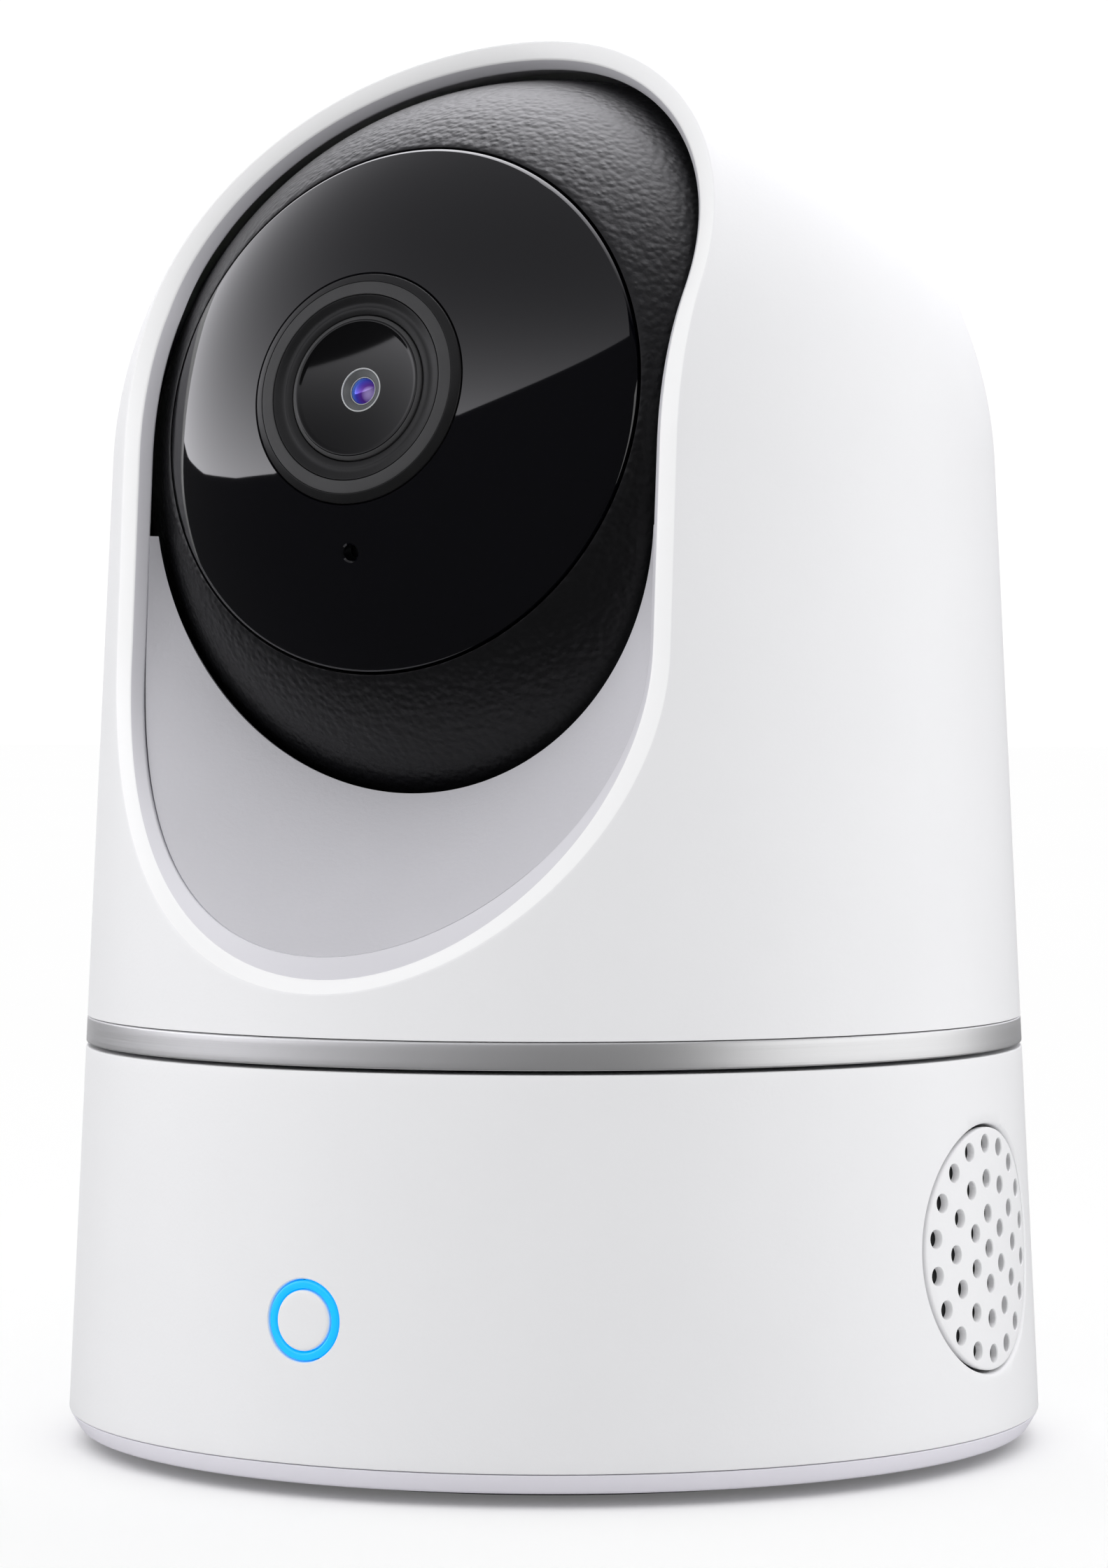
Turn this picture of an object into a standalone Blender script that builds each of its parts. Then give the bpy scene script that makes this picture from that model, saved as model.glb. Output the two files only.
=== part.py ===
"""Indoor security camera that pans and tilts: a tapered base, a turning domed head and a tilting ball.

Lengths below are in millimetres and are turned to metres where meshes are made. The origin is at the
middle of the underside, +Z is up, and the camera looks towards -Y. The speaker is on the +X side.
"""
import math

import bmesh
import bpy
from mathutils import Matrix, Vector

MM = 0.001

# Overall sizes
OVERALL_HEIGHT = 107.6
BASE_DIAMETER = 75.0
DOME_RADIUS = 34.1
SHELL_WALL = 2.2

# Gaps
FIT = 0.3            # between pieces that touch or are fastened
RUN_FIT = 0.25       # round a pin or a cap that moves in a hole
BALL_GAP = 0.75      # between the ball and the inside of the dome

# Base
COVER_SEAM_Z = 2.5
COVER_BOTTOM_Z = 1.0
COVER_CHAMFER = 0.93
COVER_PLATE = 2.0
COVER_RIM_HEIGHT = 2.0
FOOT_RADIUS = 31.0
FOOT_WIDTH = 5.0
FOOT_SINK = 0.8
BASE_LIP_WIDTH = 3.2
BASE_LIP_THICKNESS = 1.5
TRIM_BOTTOM_Z = 30.66
TRIM_HEIGHT = 2.0
DECK_THICKNESS = 2.0
DECK_POST_RADIUS = 3.0
DECK_POST_CIRCLE = 20.0
DECK_POST_ANGLES = (30.0, 150.0, 270.0)

# Button and its light ring, on the front
BUTTON_Z = 12.78
BUTTON_RADIUS = 2.15
BUTTON_TRAVEL = 0.5
LIGHT_RING_WIDTH = 0.43
BUTTON_PROUD = 0.15

# Speaker, on the +X side
SPEAKER_Z = 16.24
GRILLE_RADIUS = 8.98
GRILLE_THICKNESS = 1.4
GRILLE_HOLE_RADIUS = 0.68
GRILLE_PITCH = 2.586
GRILLE_RINGS = 3
SPEAKER_DEPTH = 9.0

# Socket, at the back
SOCKET_WIDTH = 8.0
SOCKET_HEIGHT = 3.0
SOCKET_DEPTH = 6.2
SOCKET_WALL = 0.5
PLUG_RECESS_WIDTH = 12.0
PLUG_RECESS_HEIGHT = 6.6

# Boards
BOARD_THICKNESS = 1.6
BOARD_Z = 5.2
BOARD_RADIUS = 29.5

# Pan drive
PAN_MODULE = 0.6
PAN_GEAR_TEETH = 40
PAN_PINION_TEETH = 10
PAN_GEAR_WIDTH = 2.2
PAN_MOTOR_RADIUS = 10.0
PAN_MOTOR_HEIGHT = 9.5
PAN_MOTOR_ANGLE = 210.0
HUB_RADIUS = 9.0
HUB_BORE = 6.5
TURNTABLE_THICKNESS = 2.6

# Opening of the head, seen from the front
OPENING_HALF_WIDTH = 22.1
OPENING_STRAIGHT = 13.3       # half the height of its straight sides
OPENING_LOW_REACH = 23.55     # from the straight sides down to the lowest point
OPENING_HIGH_REACH = 20.5
FASCIA_HALF_WIDTH = 21.4
FASCIA_LOW_REACH = 21.8
FASCIA_WALL = 1.6
FASCIA_TOP_DROP = 4.8         # below the ball's centre
FASCIA_RING_ANGLE = 41.5      # angular radius of its edge round the ball
FASCIA_RING_DIP = 7.0         # how far that edge's axis points down

# Ball
REST_TILT = 11.0
HEAD_WALL = 1.8
HEAD_SPLIT = 6.0              # behind the ball's centre
FACE_RADIUS = 19.77
FACE_GLASS_THICKNESS = 1.2
FACE_LIP_WIDTH = 1.57
FACE_LIP_THICKNESS = 1.4

# Lens
BEZEL_RADIUS = 8.4
BARREL_RADIUS = 5.45
BARREL_WALL = 0.55
BARREL_LENGTH = 12.7
APERTURE_RADIUS = 1.6
MIC_HOLE_RADIUS = 0.6
MIC_DROP_ANGLE = 22.5

# Tilt drive and its yoke
YOKE_THICKNESS = 1.6
YOKE_WIDTH = 16.0
YOKE_FOOT_LENGTH = 6.0
PIN_RADIUS = 2.5
PIN_HEAD_HEIGHT = 0.8
PIN_HEAD_GAP = 0.7         # to the inside of the dome, which curves away from it
TILT_MODULE = 0.5
TILT_GEAR_TEETH = 28
TILT_PINION_TEETH = 12
TILT_GEAR_WIDTH = 1.8
TILT_MOTOR_RADIUS = 7.5
TILT_MOTOR_LENGTH = 9.6
SHAFT_RADIUS = 1.0

# Screws
SCREW_RADIUS = 1.1
SCREW_HEAD_RADIUS = 2.1
SCREW_HEAD_HEIGHT = 1.0

# Places worked out from the sizes above
BASE_RADIUS = BASE_DIAMETER / 2
DOME_CENTRE = OVERALL_HEIGHT - DOME_RADIUS
SEAM_TO_CENTRE = DOME_CENTRE - COVER_SEAM_Z
TAPER = (math.acos(DOME_RADIUS / math.hypot(BASE_RADIUS, SEAM_TO_CENTRE))
         - math.atan2(SEAM_TO_CENTRE, BASE_RADIUS))
BASE_TOP = TRIM_BOTTOM_Z - FIT
TRIM_TOP = TRIM_BOTTOM_Z + TRIM_HEIGHT
DOME_BOTTOM = TRIM_TOP + FIT
DECK_TOP = BASE_TOP - BASE_LIP_THICKNESS - FIT
DECK_BOTTOM = DECK_TOP - DECK_THICKNESS
TURNTABLE_BOTTOM = TRIM_BOTTOM_Z + FIT
TURNTABLE_TOP = TURNTABLE_BOTTOM + TURNTABLE_THICKNESS
HUB_BOTTOM = DECK_BOTTOM - 4 * FIT
PAN_GEAR_TOP = HUB_BOTTOM - FIT
PAN_GEAR_BOTTOM = PAN_GEAR_TOP - PAN_GEAR_WIDTH
COVER_TOP = COVER_BOTTOM_Z + COVER_PLATE
POST_BOTTOM = COVER_TOP + FIT
BALL_RADIUS = DOME_RADIUS - SHELL_WALL - BALL_GAP
LIGHT_RING_RADIUS = BUTTON_RADIUS + RUN_FIT + LIGHT_RING_WIDTH
RING_SPHERE = DOME_RADIUS - SHELL_WALL
FACE_DEPTH = math.sqrt(BALL_RADIUS**2 - FACE_RADIUS**2)
YOKE_OUTER_X = RING_SPHERE - PIN_HEAD_GAP - PIN_HEAD_HEIGHT - FIT
YOKE_INNER_X = YOKE_OUTER_X - YOKE_THICKNESS
HEAD_FLAT_X = YOKE_INNER_X - TILT_GEAR_WIDTH - 3 * FIT
SPEAKER_RADIUS = min(GRILLE_RADIUS + 0.6, SPEAKER_Z - COVER_TOP - COVER_RIM_HEIGHT - 1.0,
                     DECK_BOTTOM - SPEAKER_Z - 0.6)

parts = bpy.data.collections.new("security_camera")
cutters = bpy.data.collections.new("cutters")


def body_radius(z, inset=0.0):
    """Radius at height z of the body, a cone that meets the dome's sphere smoothly, moved in by inset."""
    radius = DOME_RADIUS - inset
    if z <= DOME_CENTRE + radius * math.sin(TAPER):
        return (radius - (z - DOME_CENTRE) * math.sin(TAPER)) / math.cos(TAPER)
    return math.sqrt(max(radius**2 - (z - DOME_CENTRE)**2, 0.0))


def arc(radius, start, end, count, centre=0.0):
    """Points (r, h) on a circle about (0, centre), by angle above the horizontal in degrees."""
    angles = [math.radians(start + (end - start) * i / count) for i in range(count + 1)]
    return [(radius * math.cos(a), centre + radius * math.sin(a)) for a in angles]


def polar(radius, degrees):
    """The point at a radius and an angle in the XY plane."""
    return radius * math.cos(math.radians(degrees)), radius * math.sin(math.radians(degrees))


# ---------------------------------------------------------------- modelling tools

def material(name, colour, roughness, metallic=0.0):
    made = bpy.data.materials.new(name)
    made.use_nodes = True
    shader = made.node_tree.nodes["Principled BSDF"]
    shader.inputs["Base Color"].default_value = (*colour, 1.0)
    shader.inputs["Roughness"].default_value = roughness
    shader.inputs["Metallic"].default_value = metallic
    return made


def add_object(name, mesh, finish=None, parent=None, at=(0, 0, 0), turn=(0, 0, 0)):
    """Links a mesh as a part, or as a hidden cutter when it has no finish."""
    made = bpy.data.objects.new(name, mesh)
    made.location = Vector(at) * MM
    made.rotation_euler = [math.radians(angle) for angle in turn]
    made.parent = parent
    if finish is None:
        cutters.objects.link(made)
        made.hide_render = True
        made.display_type = "WIRE"
    else:
        parts.objects.link(made)
        mesh.materials.append(finish)
    return made


def smooth(mesh):
    mesh.shade_smooth()
    mesh.set_sharp_from_angle(angle=math.radians(35))


def turned(name, profile, steps, finish=None, closed=True, **place):
    """Turns a profile of (radius, height) points about Z. Its outer side runs from top to bottom."""
    mesh = bpy.data.meshes.new(name)
    points = [(r * MM, 0.0, h * MM) for r, h in profile]
    edges = [(i, i + 1) for i in range(len(points) - 1)]
    if closed:
        edges.append((len(points) - 1, 0))
    mesh.from_pydata(points, edges, [])
    made = add_object(name, mesh, finish, **place)
    screw = made.modifiers.new("turn", "SCREW")
    screw.steps = steps
    screw.render_steps = steps
    screw.use_merge_vertices = True
    screw.merge_threshold = 0.00001
    screw.use_smooth_shade = True
    return made


def ring(name, outer, inner, bottom, top, steps, finish=None, **place):
    return turned(name, [(outer, top), (outer, bottom), (inner, bottom), (inner, top)], steps, finish, **place)


def rod(name, radius, bottom, top, steps, finish=None, **place):
    """A solid cylinder along Z."""
    mesh = bpy.data.meshes.new(name)
    shape = bmesh.new()
    move = Matrix.Translation((0, 0, (bottom + top) / 2 * MM))
    bmesh.ops.create_cone(shape, cap_ends=True, segments=steps, radius1=radius * MM, radius2=radius * MM,
                          depth=(top - bottom) * MM, matrix=move)
    shape.to_mesh(mesh)
    shape.free()
    return add_object(name, mesh, finish, **place)


def block(name, low, high, finish=None, **place):
    """A box between two corners."""
    mesh = bpy.data.meshes.new(name)
    shape = bmesh.new()
    low, high = Vector(low) * MM, Vector(high) * MM
    size = Matrix.Diagonal((*(high - low), 1.0))
    bmesh.ops.create_cube(shape, size=1.0, matrix=Matrix.Translation((low + high) / 2) @ size)
    shape.to_mesh(mesh)
    shape.free()
    return add_object(name, mesh, finish, **place)


def plate(name, outline, bottom, top, finish=None, **place):
    """A flat outline in the XY plane, given a thickness along Z. Its caps are welded to its sides."""
    curve = bpy.data.curves.new(name, "CURVE")
    curve.dimensions = "2D"
    curve.fill_mode = "BOTH"
    curve.extrude = (top - bottom) / 2 * MM
    spline = curve.splines.new("POLY")
    spline.points.add(len(outline) - 1)
    for point, (x, y) in zip(spline.points, outline):
        point.co = (x * MM, y * MM, 0.0, 1.0)
    spline.use_cyclic_u = True
    guide = bpy.data.objects.new(name + "_outline", curve)
    cutters.objects.link(guide)
    bpy.context.view_layer.update()
    graph = bpy.context.evaluated_depsgraph_get()
    mesh = bpy.data.meshes.new_from_object(guide.evaluated_get(graph))
    mesh.name = name
    mesh.materials.clear()
    bpy.data.objects.remove(guide, do_unlink=True)
    shape = bmesh.new()
    shape.from_mesh(mesh)
    bmesh.ops.remove_doubles(shape, verts=shape.verts, dist=1e-7)
    bmesh.ops.translate(shape, verts=shape.verts, vec=(0, 0, (bottom + top) / 2 * MM))
    bmesh.ops.recalc_face_normals(shape, faces=shape.faces)
    shape.to_mesh(mesh)
    shape.free()
    return add_object(name, mesh, finish, **place)


def boolean(target, tool, operation="DIFFERENCE"):
    change = target.modifiers.new(tool.name, "BOOLEAN")
    change.operation = operation
    change.solver = "EXACT"
    change.object = tool


def cut(target, *tools):
    for tool in tools:
        boolean(target, tool)


def join(target, *tools):
    for tool in tools:
        boolean(target, tool, "UNION")


def axis_frame(name, at, turn=(0, 0, 0), parent=None):
    """An empty that marks an axis and carries the pieces built round it."""
    frame = bpy.data.objects.new(name, None)
    frame.location = Vector(at) * MM
    frame.rotation_euler = [math.radians(angle) for angle in turn]
    frame.parent = parent
    parts.objects.link(frame)
    return frame


def screw(name, finish, head_z, length, **place):
    """A countersunk screw along +Z, with its flat head at head_z and its tip above it."""
    tip = head_z + length
    profile = [(0.0, tip), (SCREW_RADIUS, tip - SCREW_RADIUS), (SCREW_RADIUS, head_z + SCREW_HEAD_HEIGHT),
               (SCREW_HEAD_RADIUS, head_z), (0.0, head_z)]
    return turned(name, profile, 10, finish, closed=False, **place)


def screw_hole(name, head_z, length, **place):
    """A cutter that leaves room round a screw and opens downwards."""
    shank = SCREW_RADIUS + FIT
    head = SCREW_HEAD_RADIUS + FIT
    profile = [(0.0, head_z + length + FIT), (shank, head_z + length + FIT),
               (shank, head_z + SCREW_HEAD_HEIGHT + FIT), (head, head_z), (head, head_z - SCREW_HEAD_HEIGHT * 4),
               (0.0, head_z - SCREW_HEAD_HEIGHT * 4)]
    return turned(name, profile, 10, closed=False, **place)


def gear_outline(teeth, module, phase):
    """Outline of a spur gear with straight-sided teeth. A tooth stands at the angle phase, in degrees."""
    pitch_radius = teeth * module / 2
    levels = ((pitch_radius - 1.2 * module, -0.27), (pitch_radius + 0.75 * module, -0.11),
              (pitch_radius + 0.75 * module, 0.11), (pitch_radius - 1.2 * module, 0.27))
    outline = []
    for tooth in range(teeth):
        for radius, share in levels:
            outline.append(polar(radius, phase + 360.0 * (tooth + share) / teeth))
    return outline


# ---------------------------------------------------------------- base

def add_base_shell(finish):
    """The tapered outer case, with a lip turned in at its top."""
    bottom = COVER_SEAM_Z + FIT / 2
    lip_z = BASE_TOP - BASE_LIP_THICKNESS
    lip_radius = body_radius(BASE_TOP, SHELL_WALL) - BASE_LIP_WIDTH
    profile = [(body_radius(BASE_TOP), BASE_TOP), (body_radius(bottom), bottom),
               (body_radius(bottom, SHELL_WALL), bottom), (body_radius(lip_z, SHELL_WALL), lip_z),
               (lip_radius, lip_z), (lip_radius, BASE_TOP)]
    shell = turned("base_shell", profile, 48, finish)
    reach = SHELL_WALL * 3
    cut(shell,
        rod("button_opening", LIGHT_RING_RADIUS + FIT, -reach, reach, 20, parent=button_axis, turn=(90, 0, 0)),
        rod("grille_opening", GRILLE_RADIUS + FIT, -reach, reach, 36, parent=speaker_axis, turn=(0, 90, 0)))
    plug_y = body_radius(BOARD_Z)
    middle = BOARD_Z + BOARD_THICKNESS + SOCKET_HEIGHT / 2
    half = PLUG_RECESS_WIDTH / 2
    recess = block("plug_opening", (-half, plug_y - reach, middle - PLUG_RECESS_HEIGHT / 2),
                   (half, plug_y + reach, middle + PLUG_RECESS_HEIGHT / 2))
    cut(shell, recess)


def add_bottom_cover(finish, foot_finish):
    """The grey cover with a chamfered edge, a rim that enters the case and a groove for the foot."""
    top = COVER_SEAM_Z - FIT / 2
    seam_radius = body_radius(COVER_SEAM_Z)
    rim_outer = body_radius(COVER_TOP + COVER_RIM_HEIGHT, SHELL_WALL) - FIT
    rim_inner = rim_outer - SHELL_WALL
    rim_top = COVER_TOP + COVER_RIM_HEIGHT
    groove_outer = FOOT_RADIUS + FIT
    groove_inner = FOOT_RADIUS - FOOT_WIDTH - FIT
    groove_top = COVER_BOTTOM_Z + FOOT_SINK
    profile = [(0.0, COVER_TOP), (rim_inner, COVER_TOP), (rim_inner, rim_top), (rim_outer, rim_top),
               (rim_outer, top), (seam_radius, top), (seam_radius - COVER_CHAMFER, COVER_BOTTOM_Z),
               (groove_outer, COVER_BOTTOM_Z), (groove_outer, groove_top), (groove_inner, groove_top),
               (groove_inner, COVER_BOTTOM_Z), (0.0, COVER_BOTTOM_Z)]
    cover = turned("bottom_cover", profile, 40, finish, closed=False)
    for number, angle in enumerate(DECK_POST_ANGLES, 1):
        spot = (*polar(DECK_POST_CIRCLE, angle), 0.0)
        cut(cover, screw_hole(f"cover_screw_hole_{number}", COVER_BOTTOM_Z + FIT, 9.0, at=spot))
    ring("foot_ring", FOOT_RADIUS, FOOT_RADIUS - FOOT_WIDTH, 0.0, groove_top - FIT, 40, foot_finish)


def add_base_deck(finish, screw_finish):
    """The plate that carries the turning head, with posts for the cover's and the motor's screws."""
    edge = body_radius(DECK_TOP, SHELL_WALL) - FIT
    deck = ring("base_deck", edge, HUB_RADIUS + RUN_FIT, DECK_BOTTOM, DECK_TOP, 36, finish)
    for number, angle in enumerate(DECK_POST_ANGLES, 1):
        spot = (*polar(DECK_POST_CIRCLE, angle), 0.0)
        join(deck, rod(f"deck_post_{number}", DECK_POST_RADIUS, POST_BOTTOM, DECK_BOTTOM + 1.0, 12, at=spot))
        cut(deck, rod(f"deck_post_bore_{number}", SCREW_RADIUS + FIT, POST_BOTTOM - 1.0,
                      COVER_BOTTOM_Z + 9.0 + 2 * FIT, 10, at=spot))
        screw(f"cover_screw_{number}", screw_finish, COVER_BOTTOM_Z + FIT, 9.0, at=spot)
    for number, spot in enumerate(motor_ear_places(), 1):
        join(deck, rod(f"motor_post_{number}", 2.4, PAN_MOTOR_TOP + 1.3, DECK_BOTTOM + 1.0, 12, at=spot))
        cut(deck, rod(f"motor_post_bore_{number}", SCREW_RADIUS + FIT, PAN_MOTOR_TOP, DECK_BOTTOM - 1.2, 10, at=spot))
    ring("pan_bearing", HUB_RADIUS + 5.0, HUB_RADIUS + 1.0, DECK_TOP + FIT, TURNTABLE_BOTTOM - FIT, 24, white_nylon)


def add_button(shell_finish, light_finish):
    """The front button, the light guide round it, and the switch that it presses."""
    wall = SHELL_WALL
    flange = -wall - 2 * FIT
    light = [(LIGHT_RING_RADIUS, BUTTON_PROUD), (LIGHT_RING_RADIUS, flange), (LIGHT_RING_RADIUS + 1.2, flange),
             (LIGHT_RING_RADIUS + 1.2, flange - 0.8), (BUTTON_RADIUS + RUN_FIT, flange - 0.8),
             (BUTTON_RADIUS + RUN_FIT, BUTTON_PROUD)]
    turned("light_ring", light, 20, light_finish, parent=button_axis, turn=(90, 0, 0))
    stem_end = -wall - 3.2
    cap = [(0.0, BUTTON_PROUD), (BUTTON_RADIUS, BUTTON_PROUD), (BUTTON_RADIUS, -wall - 1.6),
           (1.0, -wall - 1.6), (1.0, stem_end), (0.0, stem_end)]
    turned("button_cap", cap, 20, shell_finish, closed=False, parent=button_axis, turn=(90, 0, 0))
    switch_front = stem_end - BUTTON_TRAVEL - FIT
    block("button_switch", (-2.2, -switch_front, -2.2), (2.2, -switch_front + 1.8, 2.2), black_nylon,
          parent=button_axis)
    board_front = -switch_front + 1.8 + FIT
    block("button_board", (-6.0, board_front, -5.0), (6.0, board_front + 1.2, 8.0), circuit_green,
          parent=button_axis)
    block("status_led", (-0.8, board_front - FIT - 0.8, 3.0), (0.8, board_front - FIT, 4.4), warm_white,
          parent=button_axis)


def grille_hole_places():
    """The middle hole, then rings of 6, 12 and 18 holes with one straight above the middle."""
    places = [(0.0, 0.0)]
    for number in range(1, GRILLE_RINGS + 1):
        for step in range(6 * number):
            places.append(polar(GRILLE_PITCH * number, 90.0 + 60.0 * step / number))
    return places


def add_speaker(shell_finish):
    """The perforated grille, cut from the wall's own curve, and the small speaker behind it."""
    low, high = SPEAKER_Z - GRILLE_RADIUS - 1.0, SPEAKER_Z + GRILLE_RADIUS + 1.0
    profile = [(body_radius(high, 0.1), high), (body_radius(low, 0.1), low),
               (body_radius(low, 0.1 + GRILLE_THICKNESS), low), (body_radius(high, 0.1 + GRILLE_THICKNESS), high)]
    grille = turned("speaker_grille", profile, 48, shell_finish)
    reach = SHELL_WALL * 3
    disc = rod("grille_disc", GRILLE_RADIUS, -reach, reach, 36, parent=speaker_axis, turn=(0, 90, 0))
    boolean(grille, disc, "INTERSECT")
    mesh = bpy.data.meshes.new("grille_holes")
    shape = bmesh.new()
    for across, up in grille_hole_places():
        place = Matrix.Translation((0, across * MM, up * MM)) @ Matrix.Rotation(math.radians(90), 4, "Y")
        bmesh.ops.create_cone(shape, cap_ends=True, segments=6, radius1=GRILLE_HOLE_RADIUS * MM,
                              radius2=GRILLE_HOLE_RADIUS * MM, depth=2 * reach * MM, matrix=place)
    shape.to_mesh(mesh)
    shape.free()
    cut(grille, add_object("grille_holes", mesh, parent=speaker_axis))

    edge_drop = body_radius(SPEAKER_Z) - math.sqrt(body_radius(SPEAKER_Z)**2 - (GRILLE_RADIUS + 0.6)**2)
    front = -SHELL_WALL - edge_drop - 2 * FIT
    back = front - SPEAKER_DEPTH + 3.2
    basket = [(SPEAKER_RADIUS, front), (SPEAKER_RADIUS, front - 1.4), (8.0, front - 1.4), (8.0, back),
              (4.0, back), (4.0, back + 1.0), (7.2, back + 1.0), (7.2, front)]
    turned("speaker_basket", basket, 24, steel, parent=speaker_axis, turn=(0, 90, 0))
    cone = [(0.0, front - 1.6), (3.0, front - 2.0), (6.9, front - 0.4), (6.9, front - 1.0),
            (3.0, front - 2.8), (0.0, front - 2.8)]
    turned("speaker_cone", cone, 20, black_nylon, closed=False, parent=speaker_axis, turn=(0, 90, 0))
    rod("speaker_magnet", 5.6, back - FIT - 3.0, back - FIT, 24, steel, parent=speaker_axis, turn=(0, 90, 0))


def add_main_board():
    """The main board on the cover, with its shield, capacitor, aerial and power socket."""
    top = BOARD_Z + BOARD_THICKNESS
    board = rod("main_board", BOARD_RADIUS, BOARD_Z, top, 32, circuit_green)
    for number, angle in enumerate(DECK_POST_ANGLES, 1):
        spot = (*polar(DECK_POST_CIRCLE, angle), 0.0)
        cut(board, rod(f"board_post_hole_{number}", DECK_POST_RADIUS + FIT, BOARD_Z - 1.0, top + 1.0, 12, at=spot))
    block("shield_can", (-6.0, 9.0, top + FIT), (10.0, 20.0, top + FIT + 1.8), steel)
    rod("buffer_capacitor", 4.0, top + FIT, top + FIT + 10.0, 16, black_nylon, at=(11.0, -11.0, 0.0))
    mouth_y = BOARD_RADIUS + 1.7
    half = SOCKET_WIDTH / 2
    socket = block("usb_socket", (-half, mouth_y - SOCKET_DEPTH, top + FIT),
                   (half, mouth_y, top + FIT + SOCKET_HEIGHT), steel)
    inner = half - SOCKET_WALL
    cut(socket, block("usb_mouth", (-inner, mouth_y - SOCKET_DEPTH + 1.0, top + FIT + SOCKET_WALL),
                      (inner, mouth_y + 1.0, top + FIT + SOCKET_HEIGHT - SOCKET_WALL)))
    aerial_radius = body_radius(DECK_BOTTOM, SHELL_WALL) - 0.8
    block("wifi_antenna", (-7.0, aerial_radius - 0.8, 12.0), (7.0, aerial_radius, 20.0), circuit_green,
          turn=(0, 0, 60.0))


# ---------------------------------------------------------------- pan drive

PAN_PINION_PLACE = polar((PAN_GEAR_TEETH + PAN_PINION_TEETH) * PAN_MODULE / 2, PAN_MOTOR_ANGLE)
PAN_MOTOR_TOP = PAN_GEAR_BOTTOM - 1.8


def motor_ear_places():
    """Two places beside the pan motor, along the circle that it stands on."""
    reach = PAN_MOTOR_RADIUS + SCREW_HEAD_RADIUS + FIT
    across, along = polar(reach, PAN_MOTOR_ANGLE + 90.0)
    x, y = PAN_PINION_PLACE
    return [(x + across, y + along, 0.0), (x - across, y - along, 0.0)]


def add_pan_drive(screw_finish):
    """A small stepper motor in the base, its pinion, and the gear under the turntable's hub."""
    x, y = PAN_PINION_PLACE
    motor = rod("pan_motor", PAN_MOTOR_RADIUS, PAN_MOTOR_TOP - PAN_MOTOR_HEIGHT, PAN_MOTOR_TOP, 24, steel,
                at=(x, y, 0.0))
    first, second = (Vector(spot) - Vector((x, y, 0.0)) for spot in motor_ear_places())
    half = SCREW_HEAD_RADIUS + FIT
    bar = block("motor_ear_bar", (-first.length - half, -half, PAN_MOTOR_TOP - 0.2),
                (first.length + half, half, PAN_MOTOR_TOP + 1.0), at=(x, y, 0.0), turn=(0, 0, PAN_MOTOR_ANGLE + 90.0))
    join(motor, bar)
    for number, spot in enumerate(motor_ear_places(), 1):
        cut(motor, rod(f"motor_ear_hole_{number}", SCREW_RADIUS + FIT, PAN_MOTOR_TOP - 1.0, PAN_MOTOR_TOP + 2.0,
                       16, at=(spot[0] - x, spot[1] - y, 0.0), parent=motor))
        screw(f"motor_screw_{number}", screw_finish, PAN_MOTOR_TOP - 0.2 - SCREW_HEAD_HEIGHT - FIT, 5.0, at=spot)
    outline = gear_outline(PAN_GEAR_TEETH, PAN_MODULE, PAN_MOTOR_ANGLE)
    gear = plate("pan_gear", outline, PAN_GEAR_BOTTOM, PAN_GEAR_TOP, white_nylon, parent=pan_axis)
    cut(gear, rod("pan_gear_bore", HUB_BORE, PAN_GEAR_BOTTOM - 1.0, PAN_GEAR_TOP + 1.0, 24))
    outline = gear_outline(PAN_PINION_TEETH, PAN_MODULE, PAN_MOTOR_ANGLE + 180.0 + 180.0 / PAN_PINION_TEETH)
    pinion = plate("pan_pinion", outline, PAN_GEAR_BOTTOM, PAN_GEAR_TOP, white_nylon, at=(x, y, 0.0))
    join(pinion, rod("pan_shaft", SHAFT_RADIUS, PAN_MOTOR_TOP + 1.0 + FIT, PAN_GEAR_BOTTOM + 0.5, 16,
                     at=(0, 0, 0), parent=pinion))


# ---------------------------------------------------------------- turning head

def add_turntable(finish, screw_finish):
    """The head's floor. Its hub turns in the deck, and three screws hold the dome to it."""
    edge = body_radius(DOME_BOTTOM, SHELL_WALL) - FIT
    profile = [(edge, TURNTABLE_TOP), (edge, TURNTABLE_BOTTOM), (HUB_RADIUS, TURNTABLE_BOTTOM),
               (HUB_RADIUS, HUB_BOTTOM), (HUB_BORE, HUB_BOTTOM), (HUB_BORE, TURNTABLE_TOP)]
    table = turned("turntable", profile, 36, finish, parent=pan_axis)
    trim_inner = edge + FIT
    trim = [(body_radius(TRIM_TOP), TRIM_TOP), (body_radius(TRIM_BOTTOM_Z), TRIM_BOTTOM_Z),
            (trim_inner, TRIM_BOTTOM_Z), (trim_inner, TRIM_TOP)]
    turned("trim_ring", trim, 48, brushed_silver, parent=pan_axis)
    for number, spot in enumerate(dome_post_places(), 1):
        cut(table, screw_hole(f"dome_screw_hole_{number}", TURNTABLE_BOTTOM + FIT, 7.0, at=spot))
        screw(f"dome_screw_{number}", screw_finish, TURNTABLE_BOTTOM + FIT, 7.0, at=spot, parent=pan_axis)


def dome_post_places():
    """Three places inside the dome's wall, clear of the opening."""
    radius = body_radius(DOME_BOTTOM, SHELL_WALL) - 2.4
    return [(*polar(radius, angle), 0.0) for angle in (90.0, 210.0, 330.0)]


def opening_outline(half_width, low_reach, high_reach, count=14):
    """Points (x, z) of the opening: half an ellipse below and above two straight sides."""
    outline = []
    for centre, reach, start in ((DOME_CENTRE + OPENING_STRAIGHT, high_reach, 0.0),
                                 (DOME_CENTRE - OPENING_STRAIGHT, low_reach, 180.0)):
        for step in range(count + 1):
            angle = math.radians(start + 180.0 * step / count)
            outline.append((half_width * math.cos(angle), centre + reach * math.sin(angle)))
    return outline


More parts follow.
